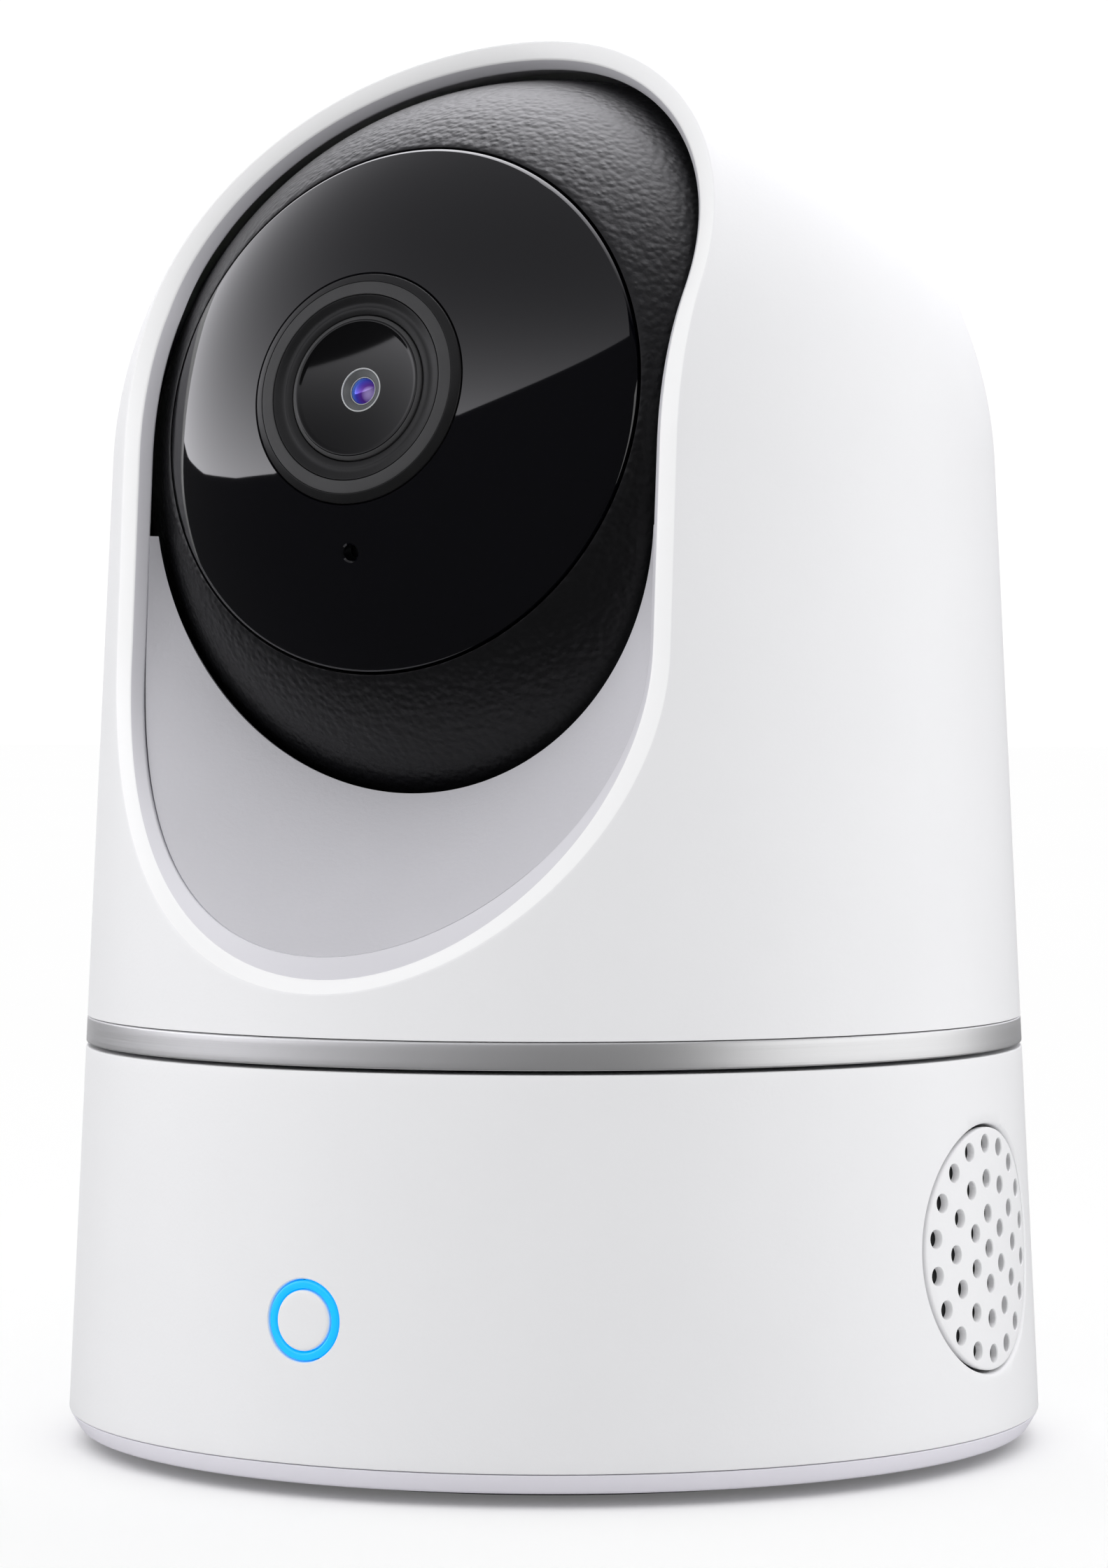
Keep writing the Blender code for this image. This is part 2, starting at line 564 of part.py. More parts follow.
def add_dome_shell(finish):
    """The domed head, open in front from its lower edge to its crown, with three posts inside."""
    outer_end = math.degrees(TAPER)
    profile = arc(DOME_RADIUS, 90.0, outer_end, 8, DOME_CENTRE)
    profile.append((body_radius(DOME_BOTTOM), DOME_BOTTOM))
    profile.append((body_radius(DOME_BOTTOM, SHELL_WALL), DOME_BOTTOM))
    profile += arc(DOME_RADIUS - SHELL_WALL, outer_end, 90.0, 7, DOME_CENTRE)
    dome = turned("dome_shell", profile, 40, finish, closed=False, parent=pan_axis)
    for number, spot in enumerate(dome_post_places(), 1):
        join(dome, rod(f"dome_post_{number}", 2.4 + SHELL_WALL / 2, TURNTABLE_TOP + FIT, TURNTABLE_TOP + 7.0, 12,
                       at=spot))
        cut(dome, rod(f"dome_post_bore_{number}", SCREW_RADIUS + FIT, TURNTABLE_TOP - 1.0, TURNTABLE_TOP + 5.5, 10,
                      at=spot))
    outline = opening_outline(OPENING_HALF_WIDTH, OPENING_LOW_REACH, OPENING_HIGH_REACH - 0.5)
    window = plate("head_opening", outline, 2.0, DOME_RADIUS + 10.0, turn=(90, 0, 0))
    cut(dome, window)


def fascia_section(share):
    """The fascia's cross-section at a share from -1 (left end) through 0 (lowest) to 1 (right end).

    Its front runs from the edge of the opening to a circle round the ball. Its back does the same one
    wall further out, so the piece is a plate of even thickness bent round the ball.
    """
    end_z = DOME_CENTRE - FASCIA_TOP_DROP
    side = math.copysign(1.0, share)
    straight = end_z - (DOME_CENTRE - OPENING_STRAIGHT)
    quarter = math.pi / 2 * (FASCIA_HALF_WIDTH + FASCIA_LOW_REACH) / 2
    along = abs(share) * (quarter + straight)
    section = []
    for spread, lean in ((0.0, 0.0), (FASCIA_WALL, math.degrees(FASCIA_WALL / RING_SPHERE))):
        width, reach = FASCIA_HALF_WIDTH + spread, FASCIA_LOW_REACH + spread
        turn = min(along / quarter, 1.0) * math.pi / 2
        x = width * math.sin(turn)
        z = DOME_CENTRE - OPENING_STRAIGHT - reach * math.cos(turn) + max(along - quarter, 0.0)
        edge_radius = body_radius(z, SHELL_WALL + FIT)
        edge = Vector((side * x, -math.sqrt(edge_radius**2 - x**2), z))
        around = abs(share) * math.radians(90.0 - 5.4)
        lens = Vector((math.sin(math.radians(FASCIA_RING_ANGLE + lean)) * math.sin(around) * side,
                       -math.cos(math.radians(FASCIA_RING_ANGLE + lean)),
                       -math.sin(math.radians(FASCIA_RING_ANGLE + lean)) * math.cos(around)))
        lens.rotate(Matrix.Rotation(math.radians(FASCIA_RING_DIP), 3, "X"))
        inner = lens * RING_SPHERE + Vector((0, 0, DOME_CENTRE))
        section.append((edge, inner))
    (front_edge, front_inner), (back_edge, back_inner) = section
    return [front_edge, front_inner, back_inner, back_edge]


def add_fascia(finish):
    """The grey sill that fills the lower half of the opening up to the ball: a loft of its sections."""
    count = 28
    mesh = bpy.data.meshes.new("fascia")
    shape = bmesh.new()
    rows = [[shape.verts.new(point * MM) for point in fascia_section(2.0 * step / count - 1.0)]
            for step in range(count + 1)]
    for row, following in zip(rows, rows[1:]):
        for i in range(4):
            j = (i + 1) % 4
            shape.faces.new((row[i], row[j], following[j], following[i]))
    shape.faces.new(rows[0])
    shape.faces.new(reversed(rows[-1]))
    bmesh.ops.recalc_face_normals(shape, faces=shape.faces)
    shape.to_mesh(mesh)
    shape.free()
    add_object("fascia", mesh, finish, parent=pan_axis)


def add_yoke(finish):
    """Two arms on the turntable, each with the pin that the ball tilts on."""
    floor = TURNTABLE_TOP + FIT
    half = YOKE_WIDTH / 2
    top = arc(half, 0.0, 180.0, 8, DOME_CENTRE)
    outline = [(half, floor)] + top + [(-half, floor)]
    for name, side in (("left", -1.0), ("right", 1.0)):
        low, high = sorted((side * YOKE_INNER_X, side * YOKE_OUTER_X))
        arm = plate(f"yoke_{name}", outline, low, high, finish, parent=pan_axis, turn=(90, 0, 90))
        foot_low, foot_high = sorted((side * (YOKE_INNER_X - YOKE_FOOT_LENGTH), side * (YOKE_INNER_X + 0.4)))
        foot = block(f"yoke_foot_{name}", (foot_low, -half, floor), (foot_high, half, floor + YOKE_THICKNESS))
        join(arm, foot)
        bore = rod(f"yoke_bore_{name}", PIN_RADIUS + FIT, -YOKE_THICKNESS, YOKE_THICKNESS, 16,
                   at=(side * (YOKE_INNER_X + YOKE_OUTER_X) / 2, 0, DOME_CENTRE), turn=(0, 90, 0))
        cut(arm, bore)
        head = YOKE_OUTER_X + FIT
        top = head + PIN_HEAD_HEIGHT
        pin = [(0.0, top), (PIN_RADIUS + 1.2, top), (PIN_RADIUS + 1.2, head), (PIN_RADIUS, head),
               (PIN_RADIUS, HEAD_FLAT_X - HEAD_WALL - 1.4), (0.0, HEAD_FLAT_X - HEAD_WALL - 1.4)]
        turned(f"pivot_pin_{name}", pin, 16, steel, closed=False, parent=pan_axis, at=(0, 0, DOME_CENTRE),
               turn=(0, side * 90.0, 0))


def add_tilt_drive():
    """A gear fixed to the right arm. The motor in the ball rolls its pinion round it."""
    gear_low = HEAD_FLAT_X + 2 * FIT
    gear_high = gear_low + TILT_GEAR_WIDTH
    spacing = (TILT_GEAR_TEETH + TILT_PINION_TEETH) * TILT_MODULE / 2
    gear = plate("tilt_gear", gear_outline(TILT_GEAR_TEETH, TILT_MODULE, -REST_TILT), gear_low, gear_high,
                 white_nylon, parent=pan_axis, at=(0, 0, DOME_CENTRE), turn=(90, 0, 90))
    cut(gear, rod("tilt_gear_bore", PIN_RADIUS + FIT, gear_low - 1.0, gear_high + 1.0, 16,
                  parent=gear))
    phase = 180.0 + 180.0 / TILT_PINION_TEETH
    pinion = plate("tilt_pinion", gear_outline(TILT_PINION_TEETH, TILT_MODULE, phase), gear_low, gear_high,
                   white_nylon, parent=tilt_axis, at=(0, spacing, 0), turn=(90, 0, 90))
    motor_end = HEAD_FLAT_X - HEAD_WALL - 2.1
    join(pinion, rod("tilt_shaft", SHAFT_RADIUS, motor_end + FIT, gear_low + 0.5, 16, parent=pinion))
    rod("tilt_motor", TILT_MOTOR_RADIUS, motor_end - TILT_MOTOR_LENGTH, motor_end, 24, steel, parent=tilt_axis,
        at=(0, spacing, 0), turn=(0, 90, 0))
    return rod("tilt_shaft_hole", SHAFT_RADIUS + 2 * FIT, 0.0, HEAD_FLAT_X + 5.0, 20, parent=tilt_axis,
               at=(0, spacing, 0), turn=(0, 90, 0))


# ---------------------------------------------------------------- tilting ball

def add_head_shells(finish, shaft_hole):
    """The two halves of the ball. Its sides are flat where the arms stand, and its face takes the glass."""
    rear = math.degrees(math.asin(HEAD_SPLIT / BALL_RADIUS))
    rear_gap = math.degrees(math.asin((HEAD_SPLIT + FIT) / BALL_RADIUS))
    front_profile = arc(BALL_RADIUS, 90.0, -rear, 8) + [(0.0, -HEAD_SPLIT)]
    rear_profile = [(0.0, -HEAD_SPLIT - FIT)] + arc(BALL_RADIUS, -rear_gap, -90.0, 6)
    front = turned("head_front_shell", front_profile, 32, finish, closed=False, parent=tilt_axis, turn=(90, 0, 0))
    back = turned("head_rear_shell", rear_profile, 32, finish, closed=False, parent=tilt_axis, turn=(90, 0, 0))
    slab = block("head_sides", (-HEAD_FLAT_X, -BALL_RADIUS - 5, -BALL_RADIUS - 5),
                 (HEAD_FLAT_X, BALL_RADIUS + 5, BALL_RADIUS + 5), parent=tilt_axis)
    inner_radius = BALL_RADIUS - HEAD_WALL
    glass_seat = math.sqrt((BALL_RADIUS - FACE_GLASS_THICKNESS)**2 - FACE_RADIUS**2) - FIT
    lip_back = glass_seat - FACE_LIP_THICKNESS
    inner_start = math.degrees(math.asin(lip_back / inner_radius))
    hollow = turned("head_hollow", [(0.0, lip_back)] + arc(inner_radius, inner_start, -90.0, 8), 24, closed=False,
                    parent=tilt_axis, turn=(90, 0, 0))
    inner_x = HEAD_FLAT_X - HEAD_WALL
    boolean(hollow, block("hollow_sides", (-inner_x, -BALL_RADIUS, -BALL_RADIUS),
                          (inner_x, BALL_RADIUS, BALL_RADIUS), parent=tilt_axis), "INTERSECT")
    bores = rod("pivot_bores", PIN_RADIUS + RUN_FIT + 1.25 + FIT, -HEAD_FLAT_X - 5, HEAD_FLAT_X + 5, 16,
                parent=tilt_axis, turn=(0, 90, 0))
    for shell in (front, back):
        boolean(shell, slab, "INTERSECT")
        cut(shell, hollow)
    cut(front, bores,
        rod("glass_recess", FACE_RADIUS, glass_seat, BALL_RADIUS + 5, 36, parent=tilt_axis, turn=(90, 0, 0)),
        rod("face_hole", FACE_RADIUS - FACE_LIP_WIDTH, lip_back - 1.0, BALL_RADIUS, 36, parent=tilt_axis,
            turn=(90, 0, 0)))
    cut(back, shaft_hole)
    for name, side in (("left", -1.0), ("right", 1.0)):
        bore = PIN_RADIUS + RUN_FIT
        bush = [(bore + 1.25, HEAD_FLAT_X + 0.2), (bore + 1.25, inner_x - FIT), (bore + 2.6, inner_x - FIT),
                (bore + 2.6, inner_x - FIT - 1.2), (bore, inner_x - FIT - 1.2), (bore, HEAD_FLAT_X + 0.2)]
        turned(f"pivot_bush_{name}", bush, 16, black_nylon, parent=tilt_axis, turn=(0, side * 90.0, 0))


def add_face(glass_finish):
    """The glossy front of the ball, a cap of the same sphere with holes for the lens and the microphone."""
    def edge_angle(radius, rho):
        return math.degrees(math.acos(rho / radius))

    outer_rho, inner_rho = FACE_RADIUS - FIT, BEZEL_RADIUS + FIT
    back_radius = BALL_RADIUS - FACE_GLASS_THICKNESS
    profile = arc(BALL_RADIUS, edge_angle(BALL_RADIUS, inner_rho), edge_angle(BALL_RADIUS, outer_rho), 3)
    profile += arc(back_radius, edge_angle(back_radius, outer_rho), edge_angle(back_radius, inner_rho), 2)
    glass = turned("face_glass", profile, 36, glass_finish, parent=tilt_axis, turn=(90, 0, 0))
    mic_turn = 90.0 + MIC_DROP_ANGLE
    cut(glass, rod("mic_hole", MIC_HOLE_RADIUS, back_radius - 2.0, BALL_RADIUS + 2.0, 8, parent=tilt_axis,
                   turn=(mic_turn, 0, 0)))
    rod("microphone", 1.8, back_radius - FIT - 1.5, back_radius - FIT - 0.1, 12, steel, parent=tilt_axis,
        turn=(mic_turn, 0, 0))
    led_top = math.sqrt(back_radius**2 - 15.5**2) - 2 * FIT
    ring("led_board", 15.5, 9.4, led_top - 1.0, led_top, 24, circuit_green, parent=tilt_axis, turn=(90, 0, 0))
    for number, angle in enumerate((45.0, 135.0, 225.0, 315.0), 1):
        across, up = polar(12.2, angle)
        rod(f"ir_led_{number}", 1.5, 0.0, 0.8, 10, clear_dark, parent=tilt_axis,
            at=(across, -led_top - FIT, up), turn=(90, 0, 0))


def add_lens():
    """The lens: a stepped ring in the glass, a barrel with two elements and an aperture, and its sensor."""
    def seat(rho):
        return math.sqrt(BALL_RADIUS**2 - rho**2)

    inner = BARREL_RADIUS + FIT
    bezel = [(BEZEL_RADIUS, seat(BEZEL_RADIUS)), (BEZEL_RADIUS, seat(BEZEL_RADIUS) - 2.8),
             (inner, seat(BEZEL_RADIUS) - 2.8), (inner, seat(inner) - 0.3), (6.9, seat(6.9))]
    turned("lens_bezel", bezel, 28, satin_black, parent=tilt_axis, turn=(90, 0, 0))
    front = seat(BARREL_RADIUS) - 0.3
    back = front - BARREL_LENGTH
    bore = BARREL_RADIUS - BARREL_WALL
    ring("lens_barrel", BARREL_RADIUS, bore, back, front, 24, satin_black, parent=tilt_axis, turn=(90, 0, 0))
    glass = bore - FIT
    dome_rise = 1.4
    dome_radius = (glass**2 + dome_rise**2) / (2 * dome_rise)
    start = math.degrees(math.asin((dome_radius - dome_rise) / dome_radius))
    dome = arc(dome_radius, 90.0, start, 4, front - 0.4 + dome_rise - dome_radius)
    turned("lens_front_element", dome + [(glass, front - 1.4), (0.0, front - 1.4)], 20, lens_glass, closed=False,
           parent=tilt_axis, turn=(90, 0, 0))
    iris_top = front - 1.4 - FIT
    ring("lens_iris", glass, APERTURE_RADIUS, iris_top - 0.8, iris_top, 16, satin_black, parent=tilt_axis,
         turn=(90, 0, 0))
    rod("lens_rear_element", glass, back + 1.0, iris_top - 0.8 - FIT - 3.0, 20, lens_glass, parent=tilt_axis,
        turn=(90, 0, 0))
    block("image_sensor", (-3.6, -back + FIT, -3.0), (3.6, -back + FIT + 1.0, 3.0), satin_black, parent=tilt_axis)
    block("sensor_board", (-12.0, -back + 2 * FIT + 1.0, -12.0), (12.0, -back + 2 * FIT + 2.0, 12.0),
          circuit_green, parent=tilt_axis)


# ---------------------------------------------------------------- build

for old in list(bpy.data.objects):
    bpy.data.objects.remove(old, do_unlink=True)
for collection in (parts, cutters):
    bpy.context.scene.collection.children.link(collection)

white_plastic = material("white_plastic", (0.86, 0.86, 0.87), 0.45)
grey_plastic = material("grey_plastic", (0.42, 0.41, 0.45), 0.5)
pale_grey = material("pale_grey_plastic", (0.62, 0.62, 0.64), 0.5)
brushed_silver = material("brushed_silver", (0.72, 0.72, 0.73), 0.3, 1.0)
blue_light = material("blue_light_guide", (0.03, 0.53, 1.0), 0.35)
textured_black = material("textured_black_plastic", (0.02, 0.02, 0.022), 0.6)
satin_black = material("satin_black", (0.03, 0.03, 0.032), 0.4)
gloss_black = material("gloss_black", (0.01, 0.01, 0.013), 0.05)
lens_glass = material("lens_glass", (0.05, 0.04, 0.09), 0.03)
clear_dark = material("dark_clear_plastic", (0.1, 0.08, 0.09), 0.1)
white_nylon = material("white_nylon", (0.8, 0.8, 0.76), 0.4)
black_nylon = material("black_nylon", (0.04, 0.04, 0.04), 0.5)
warm_white = material("led_resin", (0.9, 0.85, 0.6), 0.3)
circuit_green = material("circuit_green", (0.03, 0.2, 0.09), 0.4)
steel = material("steel", (0.6, 0.6, 0.6), 0.35, 1.0)
rubber = material("rubber", (0.12, 0.12, 0.13), 0.8)

pan_axis = axis_frame("pan_axis", (0, 0, 0))
tilt_axis = axis_frame("tilt_axis", (0, 0, DOME_CENTRE), (-REST_TILT, 0, 0), pan_axis)
button_axis = axis_frame("button_axis", (0, -body_radius(BUTTON_Z), BUTTON_Z), (-math.degrees(TAPER), 0, 0))
speaker_axis = axis_frame("speaker_axis", (body_radius(SPEAKER_Z), 0, SPEAKER_Z), (0, -math.degrees(TAPER), 0))

add_base_shell(white_plastic)
add_bottom_cover(grey_plastic, rubber)
add_base_deck(pale_grey, steel)
add_button(white_plastic, blue_light)
add_speaker(white_plastic)
add_main_board()
add_pan_drive(steel)
add_turntable(pale_grey, steel)
add_dome_shell(white_plastic)
add_fascia(pale_grey)
add_yoke(pale_grey)
head_shaft_hole = add_tilt_drive()
add_head_shells(textured_black, head_shaft_hole)
add_face(gloss_black)
add_lens()
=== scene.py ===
# %% [markdown]
# # An indoor security camera
# The camera has a tapered base, a domed head that turns on it, and a black ball that tilts in the
# head's opening. Nearly all of it is moulded plastic, so the lesson is about smooth turned
# shells, an opening cut through a dome, and finishes that differ only in grain and gloss.
# The CAD model is loaded first. It fixes every size, and the fine surfaces are made around it.

import bmesh
import bpy
import numpy as np
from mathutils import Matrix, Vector


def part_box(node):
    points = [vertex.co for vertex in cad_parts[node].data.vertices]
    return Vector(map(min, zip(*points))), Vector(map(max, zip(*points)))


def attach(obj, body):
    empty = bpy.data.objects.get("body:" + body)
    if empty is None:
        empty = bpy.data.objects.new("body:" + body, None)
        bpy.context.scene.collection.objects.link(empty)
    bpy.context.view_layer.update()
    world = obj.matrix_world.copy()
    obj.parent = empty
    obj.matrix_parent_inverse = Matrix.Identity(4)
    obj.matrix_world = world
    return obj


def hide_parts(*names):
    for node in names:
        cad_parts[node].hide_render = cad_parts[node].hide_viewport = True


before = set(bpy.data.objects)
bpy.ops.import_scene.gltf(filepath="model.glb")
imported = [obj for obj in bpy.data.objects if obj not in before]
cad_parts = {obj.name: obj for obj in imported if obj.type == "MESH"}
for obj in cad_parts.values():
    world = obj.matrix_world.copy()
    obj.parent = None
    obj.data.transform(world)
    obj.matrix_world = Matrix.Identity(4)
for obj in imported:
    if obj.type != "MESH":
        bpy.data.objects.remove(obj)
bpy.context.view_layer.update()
MM = 0.001

# %% [markdown]
# The outer surface is one body of revolution: a cone that runs smoothly into a sphere. Its sizes
# come from the CAD pieces. A sphere of radius R touches the cone where the cone's slope equals the
# sphere's, so one angle, the taper, describes both.

# %% Sizes taken from the frame
def node_box(name):
    """Lowest and highest corner of a CAD node, in millimetres."""
    return np.array(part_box(name)) / MM


HEIGHT = node_box("dome_shell")[1, 2]
BASE_RADIUS = node_box("bottom_cover")[1, 0]
BALL_CENTRE = np.mean(node_box("pivot_pin_right")[:, 2])
DOME_RADIUS = HEIGHT - BALL_CENTRE
SEAM_Z = 2.5
WALL = 2.2
TAPER = np.arccos(DOME_RADIUS / np.hypot(BASE_RADIUS, BALL_CENTRE - SEAM_Z)) - np.arctan2(
    BALL_CENTRE - SEAM_Z, BASE_RADIUS)
TRIM_LOW, TRIM_HIGH = node_box("trim_ring")[:, 2]
BALL_RADIUS = DOME_RADIUS - WALL - 0.75
print("dome radius", round(DOME_RADIUS, 2), "ball radius", round(BALL_RADIUS, 2), "taper", round(np.degrees(TAPER), 2))


def body_radius(z, out=0.0):
    """Radius at height z: on the cone (R - (z - centre) sin a) / cos a, on the sphere sqrt(R^2 - (z - centre)^2),
    where R is the dome's radius grown by out."""
    radius, rise = DOME_RADIUS + out, np.asarray(z, float) - BALL_CENTRE
    cone = (radius - rise * np.sin(TAPER)) / np.cos(TAPER)
    ball = np.sqrt(np.maximum(radius**2 - rise**2, 0.0))
    return np.where(rise <= radius * np.sin(TAPER), cone, ball)


# %% [markdown]
# Every finish below is a Principled shader with a little procedural structure. Colours are written
# as sRGB hex and turned to linear once. One function adds a node with its settings and links.

# %% Tools for materials
def linear(code):
    """sRGB hex to linear RGBA: below 0.04045 divide by 12.92, above it ((c + 0.055) / 1.055) to the power 2.4."""
    value = np.array([int(code[i:i + 2], 16) for i in (1, 3, 5)]) / 255
    return (*np.where(value <= 0.04045, value / 12.92, ((value + 0.055) / 1.055)**2.4), 1.0)


def add(tree, kind, settings=None, *values, **inputs):
    """Adds a shader node. Settings are its properties. Values fill its sockets in order and inputs fill them by
    name; each is a number, a colour, a socket to link, or a node whose first output is linked."""
    node = tree.nodes.new("ShaderNode" + kind)
    for name, value in (settings or {}).items():
        setattr(node, name, value)
    named = [(node.inputs[name.replace("_", " ")], value) for name, value in inputs.items()]
    for socket, value in list(zip(node.inputs, values)) + named:
        link(tree, value, socket)
    return node


def link(tree, value, socket):
    value = value.outputs[0] if isinstance(value, bpy.types.Node) else value
    if isinstance(value, bpy.types.NodeSocket):
        tree.links.new(value, socket)
    else:
        socket.default_value = value


def new_material(name, **values):
    """A material with a Principled shader, and its Object coordinates."""
    made = bpy.data.materials.new(name)
    made.use_nodes = True
    tree = made.node_tree
    shader = tree.nodes["Principled BSDF"]
    for socket, value in values.items():
        shader.inputs[socket.replace("_", " ")].default_value = value
    where = add(tree, "TexCoord").outputs["Object"]
    return made, tree, shader, where


def per_mm(millimetres):
    """Texture scale, per metre, for a feature that repeats every so many millimetres."""
    return 1.0 / (millimetres * MM)


def raise_by(tree, shader, height, depth_mm, strength=1.0, **settings):
    """Bump of a real depth from a node or socket that gives height."""
    bump = add(tree, "Bump", settings, Height=height, Strength=strength, Distance=depth_mm * MM)
    link(tree, bump, shader.inputs["Normal"])


def tone(tree, shader, where, dark, light, size_mm):
    """Faint cloudiness between two near colours, as wide as size_mm."""
    cloud = add(tree, "TexNoise", Vector=where, Scale=per_mm(size_mm), Detail=2.0)
    mix = add(tree, "Mix", {"data_type": "RGBA"}, Factor=cloud)
    mix.inputs["A"].default_value = linear(dark)
    mix.inputs["B"].default_value = linear(light)
    link(tree, mix.outputs["Result"], shader.inputs["Base Color"])


def grained(name, dark, light, rough, grain_mm, depth_mm, cloud_mm=9.0, detail=3.0, **values):
    """Two near colours in clouds, and a fine grain: noise of the size of one grain, raised by its real depth."""
    made, tree, shader, where = new_material(name, Roughness=rough, **values)
    tone(tree, shader, where, dark, light, cloud_mm)
    raise_by(tree, shader, add(tree, "TexNoise", Vector=where, Scale=per_mm(grain_mm), Detail=detail), depth_mm)
    return made


# %% [markdown]
# ABS is the usual plastic for such cases. Its white is a little cool, and its sandy grain takes the
# edge off every reflection. The tool is spark-eroded, with a grain of about 0.1 mm. That is too fine
# to show, so it is drawn at 0.3 mm. The grey cover and the sill are the same plastic, made darker.

# %% Moulded plastics
white_abs = grained("moulded_white_abs", "#EDEDEF", "#F0F0F2", 0.42, 0.32, 0.01, Specular_IOR_Level=0.2)
# The rim's chamfer is this white plastic made lighter, a painted highlight along the rim.
rim_highlight_abs = grained("white_abs_rim_painted_highlight", "#F8F8F9", "#FAFAFB", 0.35, 0.3, 0.002, Specular_IOR_Level=0.3)
# The opening's slanted wall is this white plastic made greyer, painted shade inside the opening.
wall_shade_abs = grained("white_abs_wall_painted_shade", "#D9D8DE", "#DDDCE2", 0.5, 0.3, 0.006, Specular_IOR_Level=0.28)
grey_abs = grained("moulded_grey_abs", "#EFEDF5", "#F3F1F9", 0.45, 0.3, 0.004)
sill_abs = grained("sand_grained_grey_abs", "#C9C8CE", "#CFCED4", 0.55, 0.35, 0.025)
pale_abs = grained("moulded_pale_grey_abs", "#B8B8BC", "#C4C4C8", 0.5, 0.4, 0.005)
white_nylon = grained("moulded_white_nylon", "#DEDDD4", "#E8E7E0", 0.4, 0.5, 0.006, Subsurface_Weight=0.1)
black_nylon = grained("moulded_black_nylon", "#1C1C1E", "#262628", 0.5, 0.5, 0.01)
# Near-black cloth behind the grille: partly its own colour, partly painted shade for the insides of the holes.
hole_shade_cloth = grained("woven_black_cloth_painted_hole_shade", "#0C0C0D", "#18181A", 0.8, 0.25, 0.05)
rubber = grained("moulded_black_rubber", "#26262A", "#303034", 0.85, 0.4, 0.02)
capacitor_sleeve = grained("shrunk_pvc_sleeve", "#14161C", "#1D2028", 0.35, 2.0, 0.01)


# %% [markdown]
# The ball is black ABS from an etched tool, whose pattern is a fine leather: rounded cells about
# half a millimetre across with narrow valleys. Voronoi cells give that, and smooth distance keeps
# their tops round. It shows only where light grazes the ball.

# %% Leather-grained black plastic
def leather_black():
    made, tree, shader, where = new_material("leather_grained_black_abs", Roughness=0.42, Specular_IOR_Level=0.32)
    tone(tree, shader, where, "#0A0A0C", "#101013", 6.0)
    cells = add(tree, "TexVoronoi", {"feature": "SMOOTH_F1"}, Vector=where, Scale=per_mm(0.55),
                Smoothness=0.6)
    fine = add(tree, "TexNoise", Vector=where, Scale=per_mm(0.9), Detail=4.0)
    height = add(tree, "Math", {"operation": "ADD"}, cells, fine)
    raise_by(tree, shader, height, 0.075, 0.9, invert=True)
    return made


leather_abs = leather_black()


# %% [markdown]
# The face is polished black polycarbonate, dark enough to hide the infrared lamps. It is as smooth
# as glass, so it mirrors the lamps of the studio, and only a long faint ripple is left in it.
# The lens rings are black anodised aluminium, blasted before anodising, which gives a soft satin.

# %% Polished and anodised black
def anodised(name, dark, light, rough):
    return grained(name, dark, light, rough, 0.15, 0.003, cloud_mm=2.0, Specular_IOR_Level=0.22)


face_plastic = grained("polished_black_polycarbonate", "#050508", "#07070B", 0.035, 9.0, 0.002, cloud_mm=12.0,
                       detail=1.0, IOR=1.58)
anodised_black = anodised("blasted_anodised_black", "#141415", "#1A1A1B", 0.38)
anodised_grey = anodised("blasted_anodised_grey", "#343435", "#3C3C3D", 0.42)
iris_grey = anodised("speckled_iris_grey", "#3A3B3C", "#77797A", 0.6)
iris_rim = anodised("turned_iris_rim", "#A9ABAD", "#C4C6C8", 0.3)


# %% [markdown]
# The trim ring has a bright skin, brushed along its length. The strokes are long one way and
# hair-fine the other, so the noise is stretched: 40 mm along, 0.12 mm across.

# %% Metals
STROKE_MM = 40.0


def brushed(name, code, rough, across_mm, depth_mm, metal=1.0):
    made, tree, shader, where = new_material(name, Metallic=metal, Roughness=rough)
    shader.inputs["Base Color"].default_value = linear(code)
    stretch = add(tree, "Mapping", Vector=where)
    stretch.inputs["Scale"].default_value = (per_mm(STROKE_MM), per_mm(STROKE_MM), per_mm(across_mm))
    lines = add(tree, "TexNoise", Vector=stretch, Scale=1.0, Detail=3.0)
    raise_by(tree, shader, lines, depth_mm)
    spread = add(tree, "MapRange", Value=lines, To_Min=rough - 0.06, To_Max=rough + 0.08)
    link(tree, spread, shader.inputs["Roughness"])
    return made


trim_metal = brushed("brushed_silver_plating", "#DADADB", 0.42, 0.12, 0.004, metal=0.8)
plated_steel = brushed("zinc_plated_steel", "#A9ABAE", 0.36, 0.6, 0.003)


# %% [markdown]
# The light guide is clear acrylic over blue LEDs. It glows evenly, so a steady emission in its own
# colour is added to a glossy surface. The inner lens carries a thin coating that reflects violet at
# its middle and blue at its edge; a ramp over the facing angle gives that change.

# %% Light guide and coated glass
def coated_glass(name, stops, rough=0.08, **values):
    """Dark glass with a colour ramp over the facing angle, from the middle of the curve to its rim; where the rim is
    lighter, that is a painted reflection.
    """
    made, tree, shader, where = new_material(name, Roughness=rough, **values)
    facing = add(tree, "LayerWeight", Blend=0.5)
    ramp = add(tree, "ValToRGB", Fac=facing.outputs["Facing"])
    elements = ramp.color_ramp.elements
    for place, code in stops[1:-1]:
        elements.new(place)
    for element, (place, code) in zip(elements, stops):
        element.position = place
        element.color = linear(code)
    link(tree, ramp, shader.inputs["Base Color"])
    raise_by(tree, shader, add(tree, "TexNoise", Vector=where, Scale=per_mm(4.0), Detail=1.0), 0.001)
    return made


